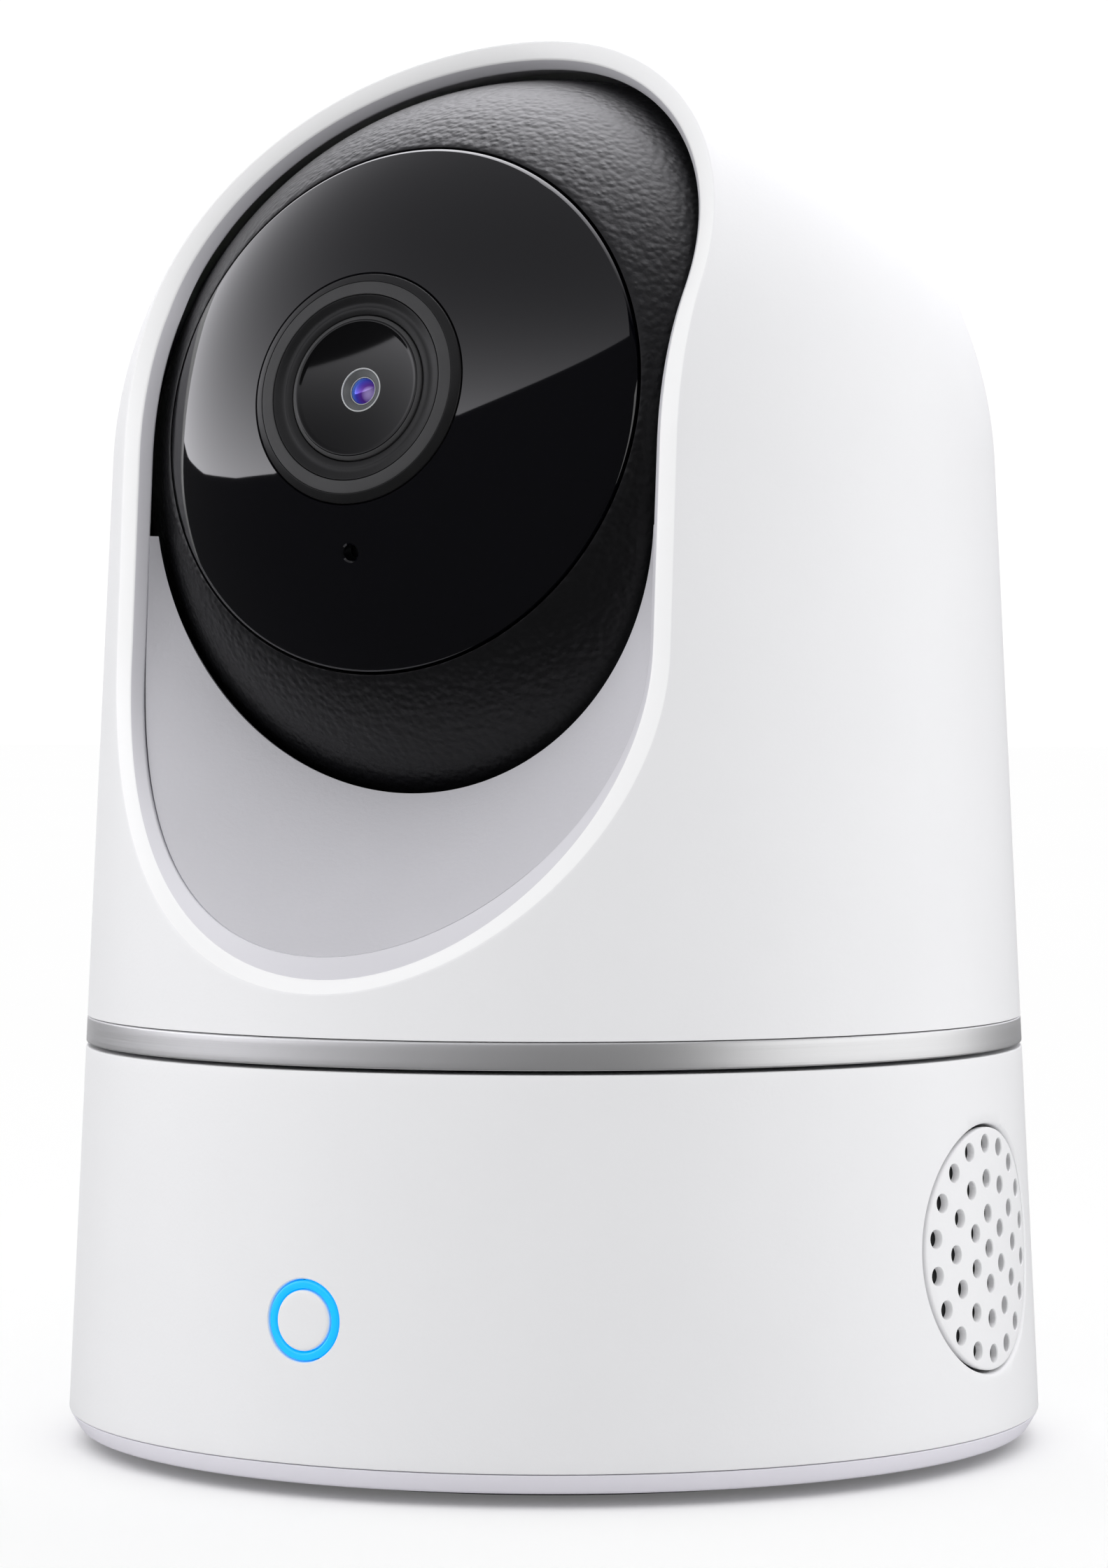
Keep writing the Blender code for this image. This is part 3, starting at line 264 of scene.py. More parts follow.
blue_light = grained("lit_blue_acrylic", "#0A9FE0", "#10A8EA", 0.25, 1.2, 0.004, cloud_mm=2.0,
                     Emission_Strength=0.6, Emission_Color=linear("#04A6F5"))
# The lens glass grows lighter toward its rim: a painted rim reflection.
front_glass = coated_glass("polished_black_lens_glass", [(0.0, "#0B0B0C"), (0.6, "#0E0E10"), (1.0, "#1C1C20")],
                           Specular_IOR_Level=0.24)
violet_glass = coated_glass("violet_coated_glass", [(0.0, "#B9A6E8"), (0.12, "#5A2C9A"), (0.35, "#3B3FBE"),
                                                    (0.7, "#4C7FE0"), (1.0, "#141830")], Metallic=0.35)
# Both LED resins grow lighter toward their rims: painted rim reflections.
smoked_clear = coated_glass("smoked_led_resin", [(0.0, "#1A1216"), (0.5, "#2A1C22"), (1.0, "#3A2C32")])
led_resin = coated_glass("clear_led_resin", [(0.0, "#E9DDA0"), (0.5, "#F2EAC0"), (1.0, "#FFFFFF")], 0.15)


# %% [markdown]
# Circuit boards are glass cloth in epoxy under green solder resist. The weave shows faintly through
# the resist as a 0.7 mm checker of bundles, so two crossed waves are multiplied into the height.

# %% Circuit board
def circuit_board():
    made, tree, shader, where = new_material("solder_resist_green", Roughness=0.3)
    tone(tree, shader, where, "#0B4A26", "#126033", 5.0)
    waves = [add(tree, "TexWave", {"bands_direction": way}, Vector=where, Scale=per_mm(0.7 * 20)).outputs["Fac"]
             for way in ("X", "Y")]
    raise_by(tree, shader, add(tree, "Math", {"operation": "MULTIPLY"}, *waves), 0.02, 0.5)
    return made


board_green = circuit_board()
print("materials:", len(bpy.data.materials))


# %% [markdown]
# Most surfaces are grids. A grid is an array of points with two indices; its faces join each point
# to its neighbours. Where a side closes on itself the last row joins the first, and a pole is a
# row whose points fall together, which merging turns into one.

# %% Tools for meshes
def finish_mesh(mesh, sharp_degrees=40.0, bridged=False):
    """Merges points that fall together, joins two open edges if asked, turns faces outwards, and shades
    smooth up to a sharp angle."""
    shape = bmesh.new()
    shape.from_mesh(mesh)
    bmesh.ops.remove_doubles(shape, verts=shape.verts, dist=0.0005 * MM)
    bmesh.ops.dissolve_degenerate(shape, edges=shape.edges, dist=0.0002 * MM)
    if bridged:
        bmesh.ops.bridge_loops(shape, edges=[edge for edge in shape.edges if edge.is_boundary])
    bmesh.ops.recalc_face_normals(shape, faces=shape.faces)
    shape.to_mesh(mesh)
    shape.free()
    mesh.shade_smooth()
    mesh.set_sharp_from_angle(angle=np.radians(sharp_degrees))


def grid_faces(rows, columns, close_rows, close_columns):
    """Quads (i, j), (i + 1, j), (i + 1, j + 1), (i, j + 1), with indices wrapped where a side is closed."""
    i = np.arange(rows if close_rows else rows - 1)[:, None]
    j = np.arange(columns if close_columns else columns - 1)[None, :]
    i, j = np.broadcast_arrays(i, j)
    after_i, after_j = (i + 1) % rows, (j + 1) % columns
    quads = np.stack([i * columns + j, after_i * columns + j, after_i * columns + after_j, i * columns + after_j], -1)
    return quads.reshape(-1, 4)


def piece(name, grids, material, body=None, replaces=(), sharp=40.0, bridged=False, bands=()):
    """Makes one object from grids of points in mm, each (points, close_rows, close_columns). Bands give rows
    of the first grid another material, each (first row, last row, material)."""
    points, faces, start = [], [], 0
    for grid, close_rows, close_columns in grids:
        rows, columns = grid.shape[:2]
        points.append(grid.reshape(-1, 3) * MM)
        faces.append(grid_faces(rows, columns, close_rows, close_columns) + start)
        start += rows * columns
    mesh = bpy.data.meshes.new(name)
    mesh.from_pydata(np.concatenate(points), [], np.concatenate(faces))
    row = np.arange(len(mesh.polygons)) // grids[0][0].shape[1]
    index = np.zeros(len(row), np.int32)
    for number, (first, last, _) in enumerate(bands):
        index[(row >= first) & (row < last)] = number + 1
    mesh.polygons.foreach_set("material_index", index)
    finish_mesh(mesh, sharp, bridged)
    made = bpy.data.objects.new(name, mesh)
    bpy.context.scene.collection.objects.link(made)
    for finish in (material, *(band[2] for band in bands)):
        if finish is not None:
            mesh.materials.append(finish)
    if body is None:
        return made
    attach(made, body)
    if replaces:
        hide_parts(*replaces)
    print(name, len(mesh.polygons), "faces")
    return made


def cut(target, tool):
    """Takes the tool's shape out of the target for good, then removes the tool."""
    change = target.modifiers.new("cut", "BOOLEAN")
    change.object = tool
    change.solver = "EXACT"
    made = bpy.data.meshes.new_from_object(target.evaluated_get(bpy.context.evaluated_depsgraph_get()))
    target.modifiers.clear()
    whole, target.data = target.data, made
    bpy.data.meshes.remove(whole)
    bpy.data.objects.remove(tool, do_unlink=True)
    made.name = target.name
    made.shade_smooth()
    made.set_sharp_from_angle(angle=np.radians(35.0))


# %% [markdown]
# A moulded edge is never knife-sharp. The profile of a turned part is given by its corners and a
# small radius at each, and every corner is replaced by a short curve before it is spun.

# %% Profiles and turned parts
def rounded(corners, steps=5, spacing=1.2):
    """Profile (r, h) from corners (r, h, fillet). Each corner P becomes the parabola
    (1-s)^2 A + 2s(1-s) P + s^2 B between points A and B, one fillet away on either side.
    Straight stretches get a point about every spacing mm."""
    data = np.array(corners, float)
    place, fillet = data[:, :2], data[:, 2]
    s = np.linspace(0, 1, steps)[:, None]
    parts = []
    for i in range(len(place)):
        if 0 < i < len(place) - 1 and fillet[i] > 0:
            back, ahead = place[i - 1] - place[i], place[i + 1] - place[i]
            a = place[i] + back / np.linalg.norm(back) * fillet[i]
            b = place[i] + ahead / np.linalg.norm(ahead) * fillet[i]
            parts.append((1 - s)**2 * a + 2 * s * (1 - s) * place[i] + s**2 * b)
        else:
            parts.append(place[i:i + 1])
    joined = [parts[0]]
    for before, after in zip(parts, parts[1:]):
        count = int(np.linalg.norm(after[0] - before[-1]) / spacing)
        share = np.linspace(0, 1, count + 2)[1:-1, None]
        joined += [before[-1] + (after[0] - before[-1]) * share, after]
    return np.concatenate(joined)


def ring_rounded(corners, **settings):
    """The same for a closed profile: the corners go round once more, so the last one is rounded too."""
    loop = list(corners) + [corners[0], corners[1]]
    middle = (np.array(loop[0][:2]) + np.array(loop[1][:2])) / 2
    return rounded([(*middle, 0.0)] + loop[1:-1] + [(*middle, 0.0)], **settings)


def spin(profile, origin=(0, 0, 0), axis=(0, 0, 1), count=192):
    """Point = origin + r (cos t u + sin t v) + h axis, with u and v square to the axis."""
    axis = np.array(axis, float)
    u = np.array([1.0, 0, 0]) if abs(axis[0]) < 0.9 else np.array([0, 1.0, 0])
    v = np.cross(axis, u)
    t = np.linspace(0, 2 * np.pi, count, endpoint=False)[:, None, None]
    r, h = profile[None, :, :1], profile[None, :, 1:2]
    return np.array(origin, float) + r * (np.cos(t) * u + np.sin(t) * v) + h * axis


def arc(radius, start, end, count, centre=0.0):
    """Points (r, h) on a circle about (0, centre), from start to end degrees above the horizontal."""
    t = np.radians(np.linspace(start, end, count))
    return np.stack([radius * np.cos(t), centre + radius * np.sin(t)], 1)


def on_body(profile, z, azimuth, count=96):
    """Carries a flat round shape onto the case. A profile point (r, out) at angle t becomes u = r cos t across
    and v = r sin t up; its distance from the axis is that of the case at z + v, grown by out."""
    t = np.linspace(0, 2 * np.pi, count, endpoint=False)[:, None]
    across, up = profile[None, :, 0] * np.cos(t), profile[None, :, 0] * np.sin(t)
    reach = body_radius(z + up) + profile[None, :, 1]
    depth = np.sqrt(np.maximum(reach**2 - across**2, 0.0))
    a = np.radians(azimuth)
    return np.stack([depth * np.cos(a) - across * np.sin(a), depth * np.sin(a) + across * np.cos(a),
                     np.broadcast_to(z + up, depth.shape)], -1)


FRONT, SIDE = -90.0, 0.0
BUTTON_Z = np.mean(node_box("button_cap")[:, 2])
SPEAKER_Z = np.mean(node_box("speaker_grille")[:, 2])

# %% [markdown]
# The base shell is a tapered tube with a lip turned in at its top. Three openings go through it:
# one for the button, one for the speaker grille and one at the back for the plug. The button's and the
# grille's cutters are round shapes carried onto the case, a little wider at the mouth, so that the cut edge is eased;
# the plug's is a straight rounded slot.

# %% Base shell
SEAM_GAP = 0.06
TRIM_GAP = 0.3
LIP_WIDTH, LIP_THICK = 3.2, 1.5


def base_shell():
    low, high = SEAM_Z + SEAM_GAP / 2, TRIM_LOW - TRIM_GAP
    lip, under = body_radius(high, -WALL) - LIP_WIDTH, high - LIP_THICK
    corners = [(body_radius(low), low, 0.12), (body_radius(high), high, 0.15), (lip, high, 0.2), (lip, under, 0.2),
               (body_radius(under, -WALL), under, 0.3), (body_radius(low, -WALL), low, 0.2)]
    return piece("base_case", [(spin(ring_rounded(corners, spacing=1.0), count=288), True, True)], white_abs, "base",
                 ["base_shell"])


def round_cutter(radius, ease, z, azimuth, count):
    """A plug through the wall. It keeps its radius inside and widens by ease at the surface."""
    profile = np.array([(0, 3), (radius + ease, 3), (radius + ease, 0.02), (radius + ease * 0.3, -ease * 0.4),
                        (radius, -ease), (radius, -5), (0, -5)], float)
    return piece("cutter", [(on_body(profile, z, azimuth, count), True, False)], None)


def superellipse(low, high, power, scale, y):
    """|x/a|^power + |z/b|^power = 1 between two corners (x, z), scaled about its middle, at a constant y."""
    t = np.linspace(0, 2 * np.pi, 72, endpoint=False)[:, None]
    wave = np.concatenate([np.cos(t), np.sin(t)], 1)
    flat = (high + low) / 2 + (high - low) / 2 * scale * np.sign(wave) * np.abs(wave)**(2 / power)
    return np.insert(flat, 1, y, axis=1)


def slot_loop(scale, y):
    """The plug opening's rounded outline."""
    return superellipse(np.array([-6.0, 5.0]), np.array([6.0, 11.6]), 4, scale, y)


def plug_cutter():
    rows = np.stack([slot_loop(0, 42), slot_loop(1, 42), slot_loop(1, 30), slot_loop(0, 30)], 1)
    return piece("cutter", [(rows, True, False)], None)


case = base_shell()
cut(case, round_cutter(radius=2.95, ease=0.12, z=BUTTON_Z, azimuth=FRONT, count=64))
cut(case, round_cutter(radius=9.2, ease=0.3, z=SPEAKER_Z, azimuth=SIDE, count=128))
cut(case, plug_cutter())

# %% [markdown]
# The bottom cover closes the base. What shows of it is a grey chamfer under the white case. It has
# a groove for the rubber foot, which lifts the camera by a millimetre and gives it a thin shadow.

# %% Bottom cover and foot
FOOT_OUTER, FOOT_INNER = 31.0, 26.0
PLATE_LOW, PLATE_FLOOR, RIM_TOP = 1.0, 3.0, 5.0


def bottom_cover():
    top, edge, rim = SEAM_Z - SEAM_GAP / 2, body_radius(SEAM_Z), body_radius(RIM_TOP, -WALL) - 0.3
    groove = [(FOOT_INNER - 0.3, PLATE_LOW, 0.2), (FOOT_INNER - 0.3, 1.8, 0.1), (FOOT_OUTER + 0.3, 1.8, 0.1),
              (FOOT_OUTER + 0.3, PLATE_LOW, 0.2)]
    profile = rounded([(0, PLATE_LOW, 0), *groove, (edge - 0.93, PLATE_LOW, 0.35), (edge - 0.05, top, 0.12),
                       (rim, top, 0.1), (rim, RIM_TOP, 0.2), (rim - WALL, RIM_TOP, 0.2),
                       (rim - WALL, PLATE_FLOOR, 0.2), (0, PLATE_FLOOR, 0)], spacing=1.5)
    return piece("bottom_plate", [(spin(profile, count=240), True, False)], grey_abs, "base", ["bottom_cover"])


def screw_cutter(x, y):
    """Room for a countersunk head: a cone from the underside up to the shank."""
    profile = np.array([(0, -2), (2.4, -2), (2.4, 1.3), (1.4, 2.3), (1.4, 6), (0, 6)], float)
    return piece("cutter", [(spin(profile, (x, y, 0), count=32), True, False)], None)


cover = bottom_cover()
for number in (1, 2, 3):
    x, y, _ = node_box(f"cover_screw_{number}").mean(0)
    cut(cover, screw_cutter(x, y))
foot = ring_rounded([(FOOT_OUTER, 0, 0.4), (FOOT_OUTER, 1.5, 0.2), (FOOT_INNER, 1.5, 0.2), (FOOT_INNER, 0, 0.4)])
piece("rubber_foot", [(spin(foot), True, True)], rubber, "base", ["foot_ring"])

# %% [markdown]
# The button sits in a ring of light. Cap and ring follow the case's curve, and a dark gap of a tenth
# of a millimetre runs round each, which is what makes them read as separate pieces.

# %% Button and light ring
def disc(radius, top, bottom, fillet, spacing):
    """A solid disc whose rim is rounded, as a profile from the middle of its face to the middle of its back."""
    return rounded([(0, top, 0), (radius, top, fillet), (radius, bottom, 0.1), (0, bottom, 0)], spacing=spacing)


ring = ring_rounded([(2.83, -2.8, 0.1), (2.83, -0.04, 0.14), (2.28, -0.04, 0.14), (2.28, -2.8, 0.1)], spacing=0.5)
piece("lit_ring", [(on_body(ring, BUTTON_Z, FRONT), True, True)], blue_light, "base", ["light_ring"])
piece("button_face", [(on_body(disc(2.16, 0.04, -3.6, 0.22, 0.5), BUTTON_Z, FRONT), True, False)], white_abs,
      "button", ["button_cap"])

# %% [markdown]
# The grille is a disc of the same curve with rings of 6, 12 and 18 round holes about one in the
# middle, spaced so that every neighbour is equally far away. The holes run straight along X, as the
# pins of the mould do, and each is cut with a plug that widens at its mouth. A black cloth behind the
# plate keeps dust out; its near-black, seen in the holes, is painted shade for their insides.

# %% Speaker grille
HOLE_PITCH = 2.586
HOLE_RADIUS = 0.675


def hole_places():
    """Ring n holds 6 n holes at radius n pitches, the first straight above the middle."""
    places = [(0.0, 0.0)]
    for ring_number in (1, 2, 3):
        t = np.radians(90 + 60 * np.arange(6 * ring_number) / ring_number)
        places += list(zip(HOLE_PITCH * ring_number * np.cos(t), HOLE_PITCH * ring_number * np.sin(t)))
    return np.array(places)


def hole_cutters():
    """All plugs at once: each profile point (r, out) is spun about a line along X through its hole."""
    profile = np.array([(0, 2), (HOLE_RADIUS + 0.1, 2), (HOLE_RADIUS + 0.1, 0.0), (HOLE_RADIUS, -0.14),
                        (HOLE_RADIUS, -4), (0, -4)], float)
    t = np.linspace(0, 2 * np.pi, 28, endpoint=False)
    grids = []
    for across, up in hole_places():
        y, z = across + np.outer(np.cos(t), profile[:, 0]), SPEAKER_Z + up + np.outer(np.sin(t), profile[:, 0])
        face = np.sqrt(body_radius(z)**2 - y**2)
        inside = np.where(profile[:, 1] > -0.5, face + profile[:, 1], face.min() + profile[:, 1])
        grids.append((np.stack([inside, y, z], -1), True, False))
    return piece("cutter", grids, None)


grille = piece("speaker_cover", [(on_body(disc(8.95, -0.06, -0.6, 0.2, 0.4), SPEAKER_Z, SIDE, 144), True, False)],
               white_abs, "base", ["speaker_grille"])
cut(grille, hole_cutters())
# A black sheet behind the holes, whose blackness paints the shade inside them.
piece("hole_shade_cloth", [(on_body(disc(8.8, -0.65, -1.1, 0.1, 0.6), SPEAKER_Z, SIDE), True, False)], hole_shade_cloth, "base")

# %% [markdown]
# The trim ring is a flat silver band, level with the case. Its long edges are broken by a tenth
# of a millimetre, and the upper one catches the light as a bright line.

# %% Trim ring
TRIM_TOP = TRIM_HIGH - 0.02
TRIM_INNER = node_box("trim_ring")[1, 0] - 2.4
band = ring_rounded([(body_radius(TRIM_LOW), TRIM_LOW, 0.14), (body_radius(TRIM_TOP), TRIM_TOP, 0.16),
                     (TRIM_INNER, TRIM_TOP, 0.1), (TRIM_INNER, TRIM_LOW, 0.1)], spacing=0.6)
piece("trim_band", [(spin(band, count=288), True, True)], trim_metal, "pan", ["trim_ring"])

# %% [markdown]
# The dome has one opening, seen from the front as two straight sides between half ellipses. Cutting
# it with a Boolean would leave ragged shading on so smooth a surface, so the mesh is laid out round
# the opening instead. Rays leave the ball's centre in the front view. Each starts at the rim, runs
# out to the silhouette over the front, and comes back to the middle over the rear. The distances
# along it follow the sine of an angle, which spaces the points evenly round the case. From the rim
# a chamfer and a slanted wall lead in, and the same rays give the inner face.

# %% Head shell
OPEN_LOW, OPEN_HIGH = BALL_CENTRE - 13.3, BALL_CENTRE + 13.3
RIM_HALF, RIM_DOWN, RIM_UP = 23.5, 24.45, 20.5
CHAMFER = 1.4
WALL_INSET, WALL_INSET_DOWN = 2.1, 2.65
WALL_DEPTH = 0.85
DOME_LOW = TRIM_HIGH + 0.05


def ray_angles(down_side, round_foot, bottom):
    """Even angles from straight up to the silhouette's lower corners, and between those the rays that end at
    even steps round the lower edge. The nearest are moved onto the inner skin's corners."""
    drop, half_turn = BALL_CENTRE - bottom, np.linspace(np.pi / 2, -np.pi / 2, round_foot)
    foot = np.pi - np.arctan2(body_radius(bottom) * np.sin(half_turn), drop)
    side = np.linspace(0, foot[0], down_side, endpoint=False)
    angles = np.concatenate([side, foot, 2 * np.pi - side[:0:-1]])
    corner = np.pi - np.arctan2(body_radius(bottom, -WALL), drop)
    for angle in (corner, 2 * np.pi - corner):
        angles[np.argmin(np.abs(angles - angle))] = angle
    return angles


def to_outline(angle, half, down, up):
    """Distance along each ray to the outline: half / |sin| on the sides, and where
    (x / half)^2 + ((z - end) / reach)^2 = 1 on the two ends."""
    s, c = np.sin(angle), np.cos(angle)
    distance = half / np.maximum(np.abs(s), 1e-9)
    for end, reach, where in ((OPEN_HIGH - BALL_CENTRE, up, 1), (OPEN_LOW - BALL_CENTRE, down, -1)):
        a = (s / half)**2 + (c / reach)**2
        b = -2 * c * end / reach**2
        k = (end / reach)**2 - 1
        root = (-b + np.sqrt(np.maximum(b * b - 4 * a * k, 0))) / (2 * a)
        beyond = (distance * c - end) * where > 0
        distance = np.where(beyond, root, distance)
    return distance


def to_silhouette(angle, bottom, out=0.0):
    """R on the dome, R / sin(angle + taper) on the cone, and the shell's lower edge below that."""
    radius, turn = DOME_RADIUS + out, np.where(angle > np.pi, 2 * np.pi - angle, angle)
    cone = radius / np.maximum(np.sin(turn + TAPER), 1e-3)
    distance = np.where(turn + TAPER > np.pi / 2, cone, radius)
    fall = np.where(np.cos(turn) < -1e-6, (bottom - BALL_CENTRE) / np.minimum(np.cos(turn), -1e-6), 1e9)
    return np.minimum(distance, fall)


def along_rays(start, edge, swing, share):
    """Distances from start (share 0) to edge (share 1), at even steps of the angle p round the case's axis:
    edge sin(p) / sin(swing). A swing of 90 degrees crowds them toward the silhouette, and the rays that end on
    the lower edge take less."""
    first = np.arcsin(np.clip(start / edge, 0, 1) * np.sin(swing))
    return edge * np.sin(first + (swing - first) * share) / np.sin(swing)


def on_case(angle, distance, side, out=0.0):
    """The point of the case at that distance along each ray of the front view, on its front (-1) or rear (1)."""
    x, z = distance * np.sin(angle), BALL_CENTRE + distance * np.cos(angle)
    y = side * np.sqrt(np.maximum(body_radius(z, out)**2 - x**2, 0.0))
    return np.stack([x, y, z], -1)


def downward(angle, distance):
    """How far the rim faces down, 0 on the sides and 1 at the lowest point: the square of the ellipse's normal."""
    x, z = distance * np.sin(angle), distance * np.cos(angle) - (OPEN_LOW - BALL_CENTRE)
    normal = np.stack([x / RIM_HALF**2, np.minimum(z, 0) / RIM_DOWN**2], -1)
    return (normal[:, 1] / (np.linalg.norm(normal, axis=1) + 1e-9))**2


def rim_lines(angle):
    """Three closed lines: the rim on the case, the inner edge of the chamfer, and the end of the slanted wall.
    The chamfer faces forward on the sides and lies at 45 degrees at the bottom."""
    rim_distance = to_outline(angle, RIM_HALF, RIM_DOWN, RIM_UP)
    rim = on_case(angle, rim_distance, -1)
    down = downward(angle, rim_distance)
    along = np.stack([np.sin(angle), 0 * angle, np.cos(angle)], -1)
    step = to_outline(angle, RIM_HALF - CHAMFER, RIM_DOWN - 0.95, RIM_UP - CHAMFER)
    chamfer = rim + (step - rim_distance)[:, None] * along
    chamfer[:, 1] += down
    last = to_outline(angle, RIM_HALF - WALL_INSET, RIM_DOWN - WALL_INSET_DOWN, RIM_UP - WALL_INSET)
    wall = chamfer + (last - step)[:, None] * along
    wall[:, 1] += WALL_DEPTH * (1 - down)
    return rim, chamfer, wall, rim_distance, last


def eased(lines, radius=0.16, steps=4):
    """Joins lines of points into rows, each inner corner rounded by the parabola between points a radius away."""
    s = np.linspace(0, 1, steps)[:, None, None]
    rows = [lines[0][None]]
    for before, corner, after in zip(lines, lines[1:], lines[2:]):
        back, ahead = before - corner, after - corner
        a = corner + back * np.minimum(radius / np.linalg.norm(back, axis=1, keepdims=True), 0.45)
        b = corner + ahead * np.minimum(radius / np.linalg.norm(ahead, axis=1, keepdims=True), 0.45)
        rows.append((1 - s)**2 * a + 2 * s * (1 - s) * corner + s**2 * b)
    rows.append(lines[-1][None])
    return np.concatenate(rows)


def head_shell():
    angle = ray_angles(130, 91, DOME_LOW)
    rim, chamfer, wall, rim_distance, wall_distance = rim_lines(angle)
    edge = to_silhouette(angle, DOME_LOW)
    on_foot = np.cos(angle) * edge < DOME_LOW - BALL_CENTRE + 1e-6
    across = np.clip(np.abs(np.sin(angle)) * edge / body_radius(DOME_LOW), 0.01, 1)
    swing = np.where(on_foot, np.arcsin(across), np.pi / 2)
    share = np.linspace(0, 1, 40)[1:, None]
    front = on_case(angle[None], along_rays(rim_distance, edge, swing, share), -1)
    inner_edge = to_silhouette(angle, DOME_LOW, -WALL)
    inner_start = np.minimum(wall_distance + 0.4, inner_edge)
    inner_front = on_case(angle[None], along_rays(inner_start, inner_edge, swing, share[::-1]), -1, -WALL)
    start = on_case(angle, inner_start, -1, -WALL)
    front_rows = np.concatenate([inner_front, start[None], eased([start, wall, chamfer, rim, front[1]]), front[2:]])
    share = np.linspace(1, 0, 64)[:, None]
    rear = on_case(angle[None], along_rays(0, edge, swing, share), 1)
    inner_rear = on_case(angle[None], along_rays(0, inner_edge, swing, share), 1, -WALL)
    grids = [(front_rows, False, True), (rear, False, True), (inner_rear, False, True)]
    wall_row = len(inner_front) + 1
    # The chamfer's rows take the lighter copy of the white plastic, a painted highlight.
    # The wall's rows take the greyer copy of the white plastic, painted shade.
    bands = [(wall_row, wall_row + 6, wall_shade_abs), (wall_row + 6, wall_row + 10, rim_highlight_abs)]
    piece("head_case", grids, white_abs, "pan", ["dome_shell"], bridged=True, bands=bands)


head_shell()

# %% [markdown]
# The sill fills the lower part of the opening. It is a slightly hollow ramp from the wall's end down
# to a circle close round the ball, so it is built as a sweep: one row of points from the outer line
# to the inner line, carried along both at once. Its two edges are rolled back.

# %% Sill
def sill():
    """Share t runs from the left end through the lowest point to the right end. The outer line follows the
    opening, the inner one a circle on a sphere round the ball. Between them the row is straight, less a
    hollow of depth d times 4 s (1 - s)."""
    half, down, top = RIM_HALF - WALL_INSET, RIM_DOWN - WALL_INSET_DOWN, BALL_CENTRE - 4.35
    t = np.linspace(-1, 1, 161)
    quarter = np.pi / 2 * (half + down) / 2
    along = np.abs(t) * (quarter + top - OPEN_LOW)
    turn, rise = np.minimum(along / quarter, 1) * np.pi / 2, np.maximum(along - quarter, 0)
    down_share = np.cos(turn)**2
    rim_x, rim_z = np.sign(t) * RIM_HALF * np.sin(turn), OPEN_LOW - RIM_DOWN * np.cos(turn) + rise
    y = -np.sqrt(body_radius(rim_z)**2 - rim_x**2) + WALL_DEPTH + 0.15 * down_share
    outer = np.stack([np.sign(t) * half * np.sin(turn), y, OPEN_LOW - down * np.cos(turn) + rise], -1)
    ring_angle, dip = np.radians(41.5), np.radians(5.7)
    around = t * np.radians(90 - 5.4)
    u = np.stack([np.sin(ring_angle) * np.sin(around), np.full_like(t, -np.cos(ring_angle)),
                  -np.sin(ring_angle) * np.cos(around)], -1)
    dipped = np.stack([u[:, 0], u[:, 1] * np.cos(dip) - u[:, 2] * np.sin(dip),
                       u[:, 1] * np.sin(dip) + u[:, 2] * np.cos(dip)], -1)
    inner = dipped * (BALL_RADIUS + 0.75) + (0, 0, BALL_CENTRE)
    s = np.linspace(0.004, 0.985, 26)[:, None, None]
    hollow = 0.7 * 4 * s * (1 - s) * down_share[None, :, None]
    normal = np.cross(np.gradient(outer, axis=0), inner - outer)
    normal /= np.linalg.norm(normal, axis=1, keepdims=True)
    normal *= -np.sign(normal[:, 1:2] + 1e-12)
    face = outer + (inner - outer) * s - normal * hollow
    grid = np.stack([outer - 1.5 * normal, outer - 0.12 * normal, *face, inner - 0.35 * normal,
                     inner - 1.5 * normal], 1)
    caps = [np.stack([grid[i], np.broadcast_to(grid[i].mean(0), grid[i].shape)]) for i in (0, -1)]
    piece("ball_sill", [(grid, False, True), (caps[0], False, True), (caps[1], False, True)], sill_abs, "pan",
          ["fascia"], sharp=50)


sill()

# %% [markdown]
# The ball is two moulded halves about the lens's axis, which at rest looks 11 degrees up. Its sides
# are flat where the arms stand, made by holding x to the arms' gap. A round recess takes the face.

# %% Ball
REST_TILT = np.radians(11.0)
LENS_AXIS = np.array([0, -np.cos(REST_TILT), np.sin(REST_TILT)])
BALL_PLACE = np.array([0, 0, BALL_CENTRE])
FACE_RADIUS = 19.77
SIDE_FLAT = node_box("head_front_shell")[1, 0]
SPLIT, BALL_GAP, BALL_WALL = -6.0, 0.12, 1.8


def degrees_at(radius, rho):
    """The angle above the horizontal at which a circle is rho from its upright axis."""
    return np.degrees(np.arccos(rho / radius))


def degrees_up(radius, height):
    """The angle at which it is that high."""
    return np.degrees(np.arcsin(height / radius))


def half_ball(name, profile, node):
    grid = spin(profile, BALL_PLACE, LENS_AXIS, 256)
    inner = np.linalg.norm(grid - BALL_PLACE, axis=2) < BALL_RADIUS - 0.9
    limit = np.where(inner, SIDE_FLAT - BALL_WALL, SIDE_FLAT)
    grid[..., 0] = np.clip(grid[..., 0], -limit, limit)
    piece(name, [(grid, True, True)], leather_abs, "tilt", [node])


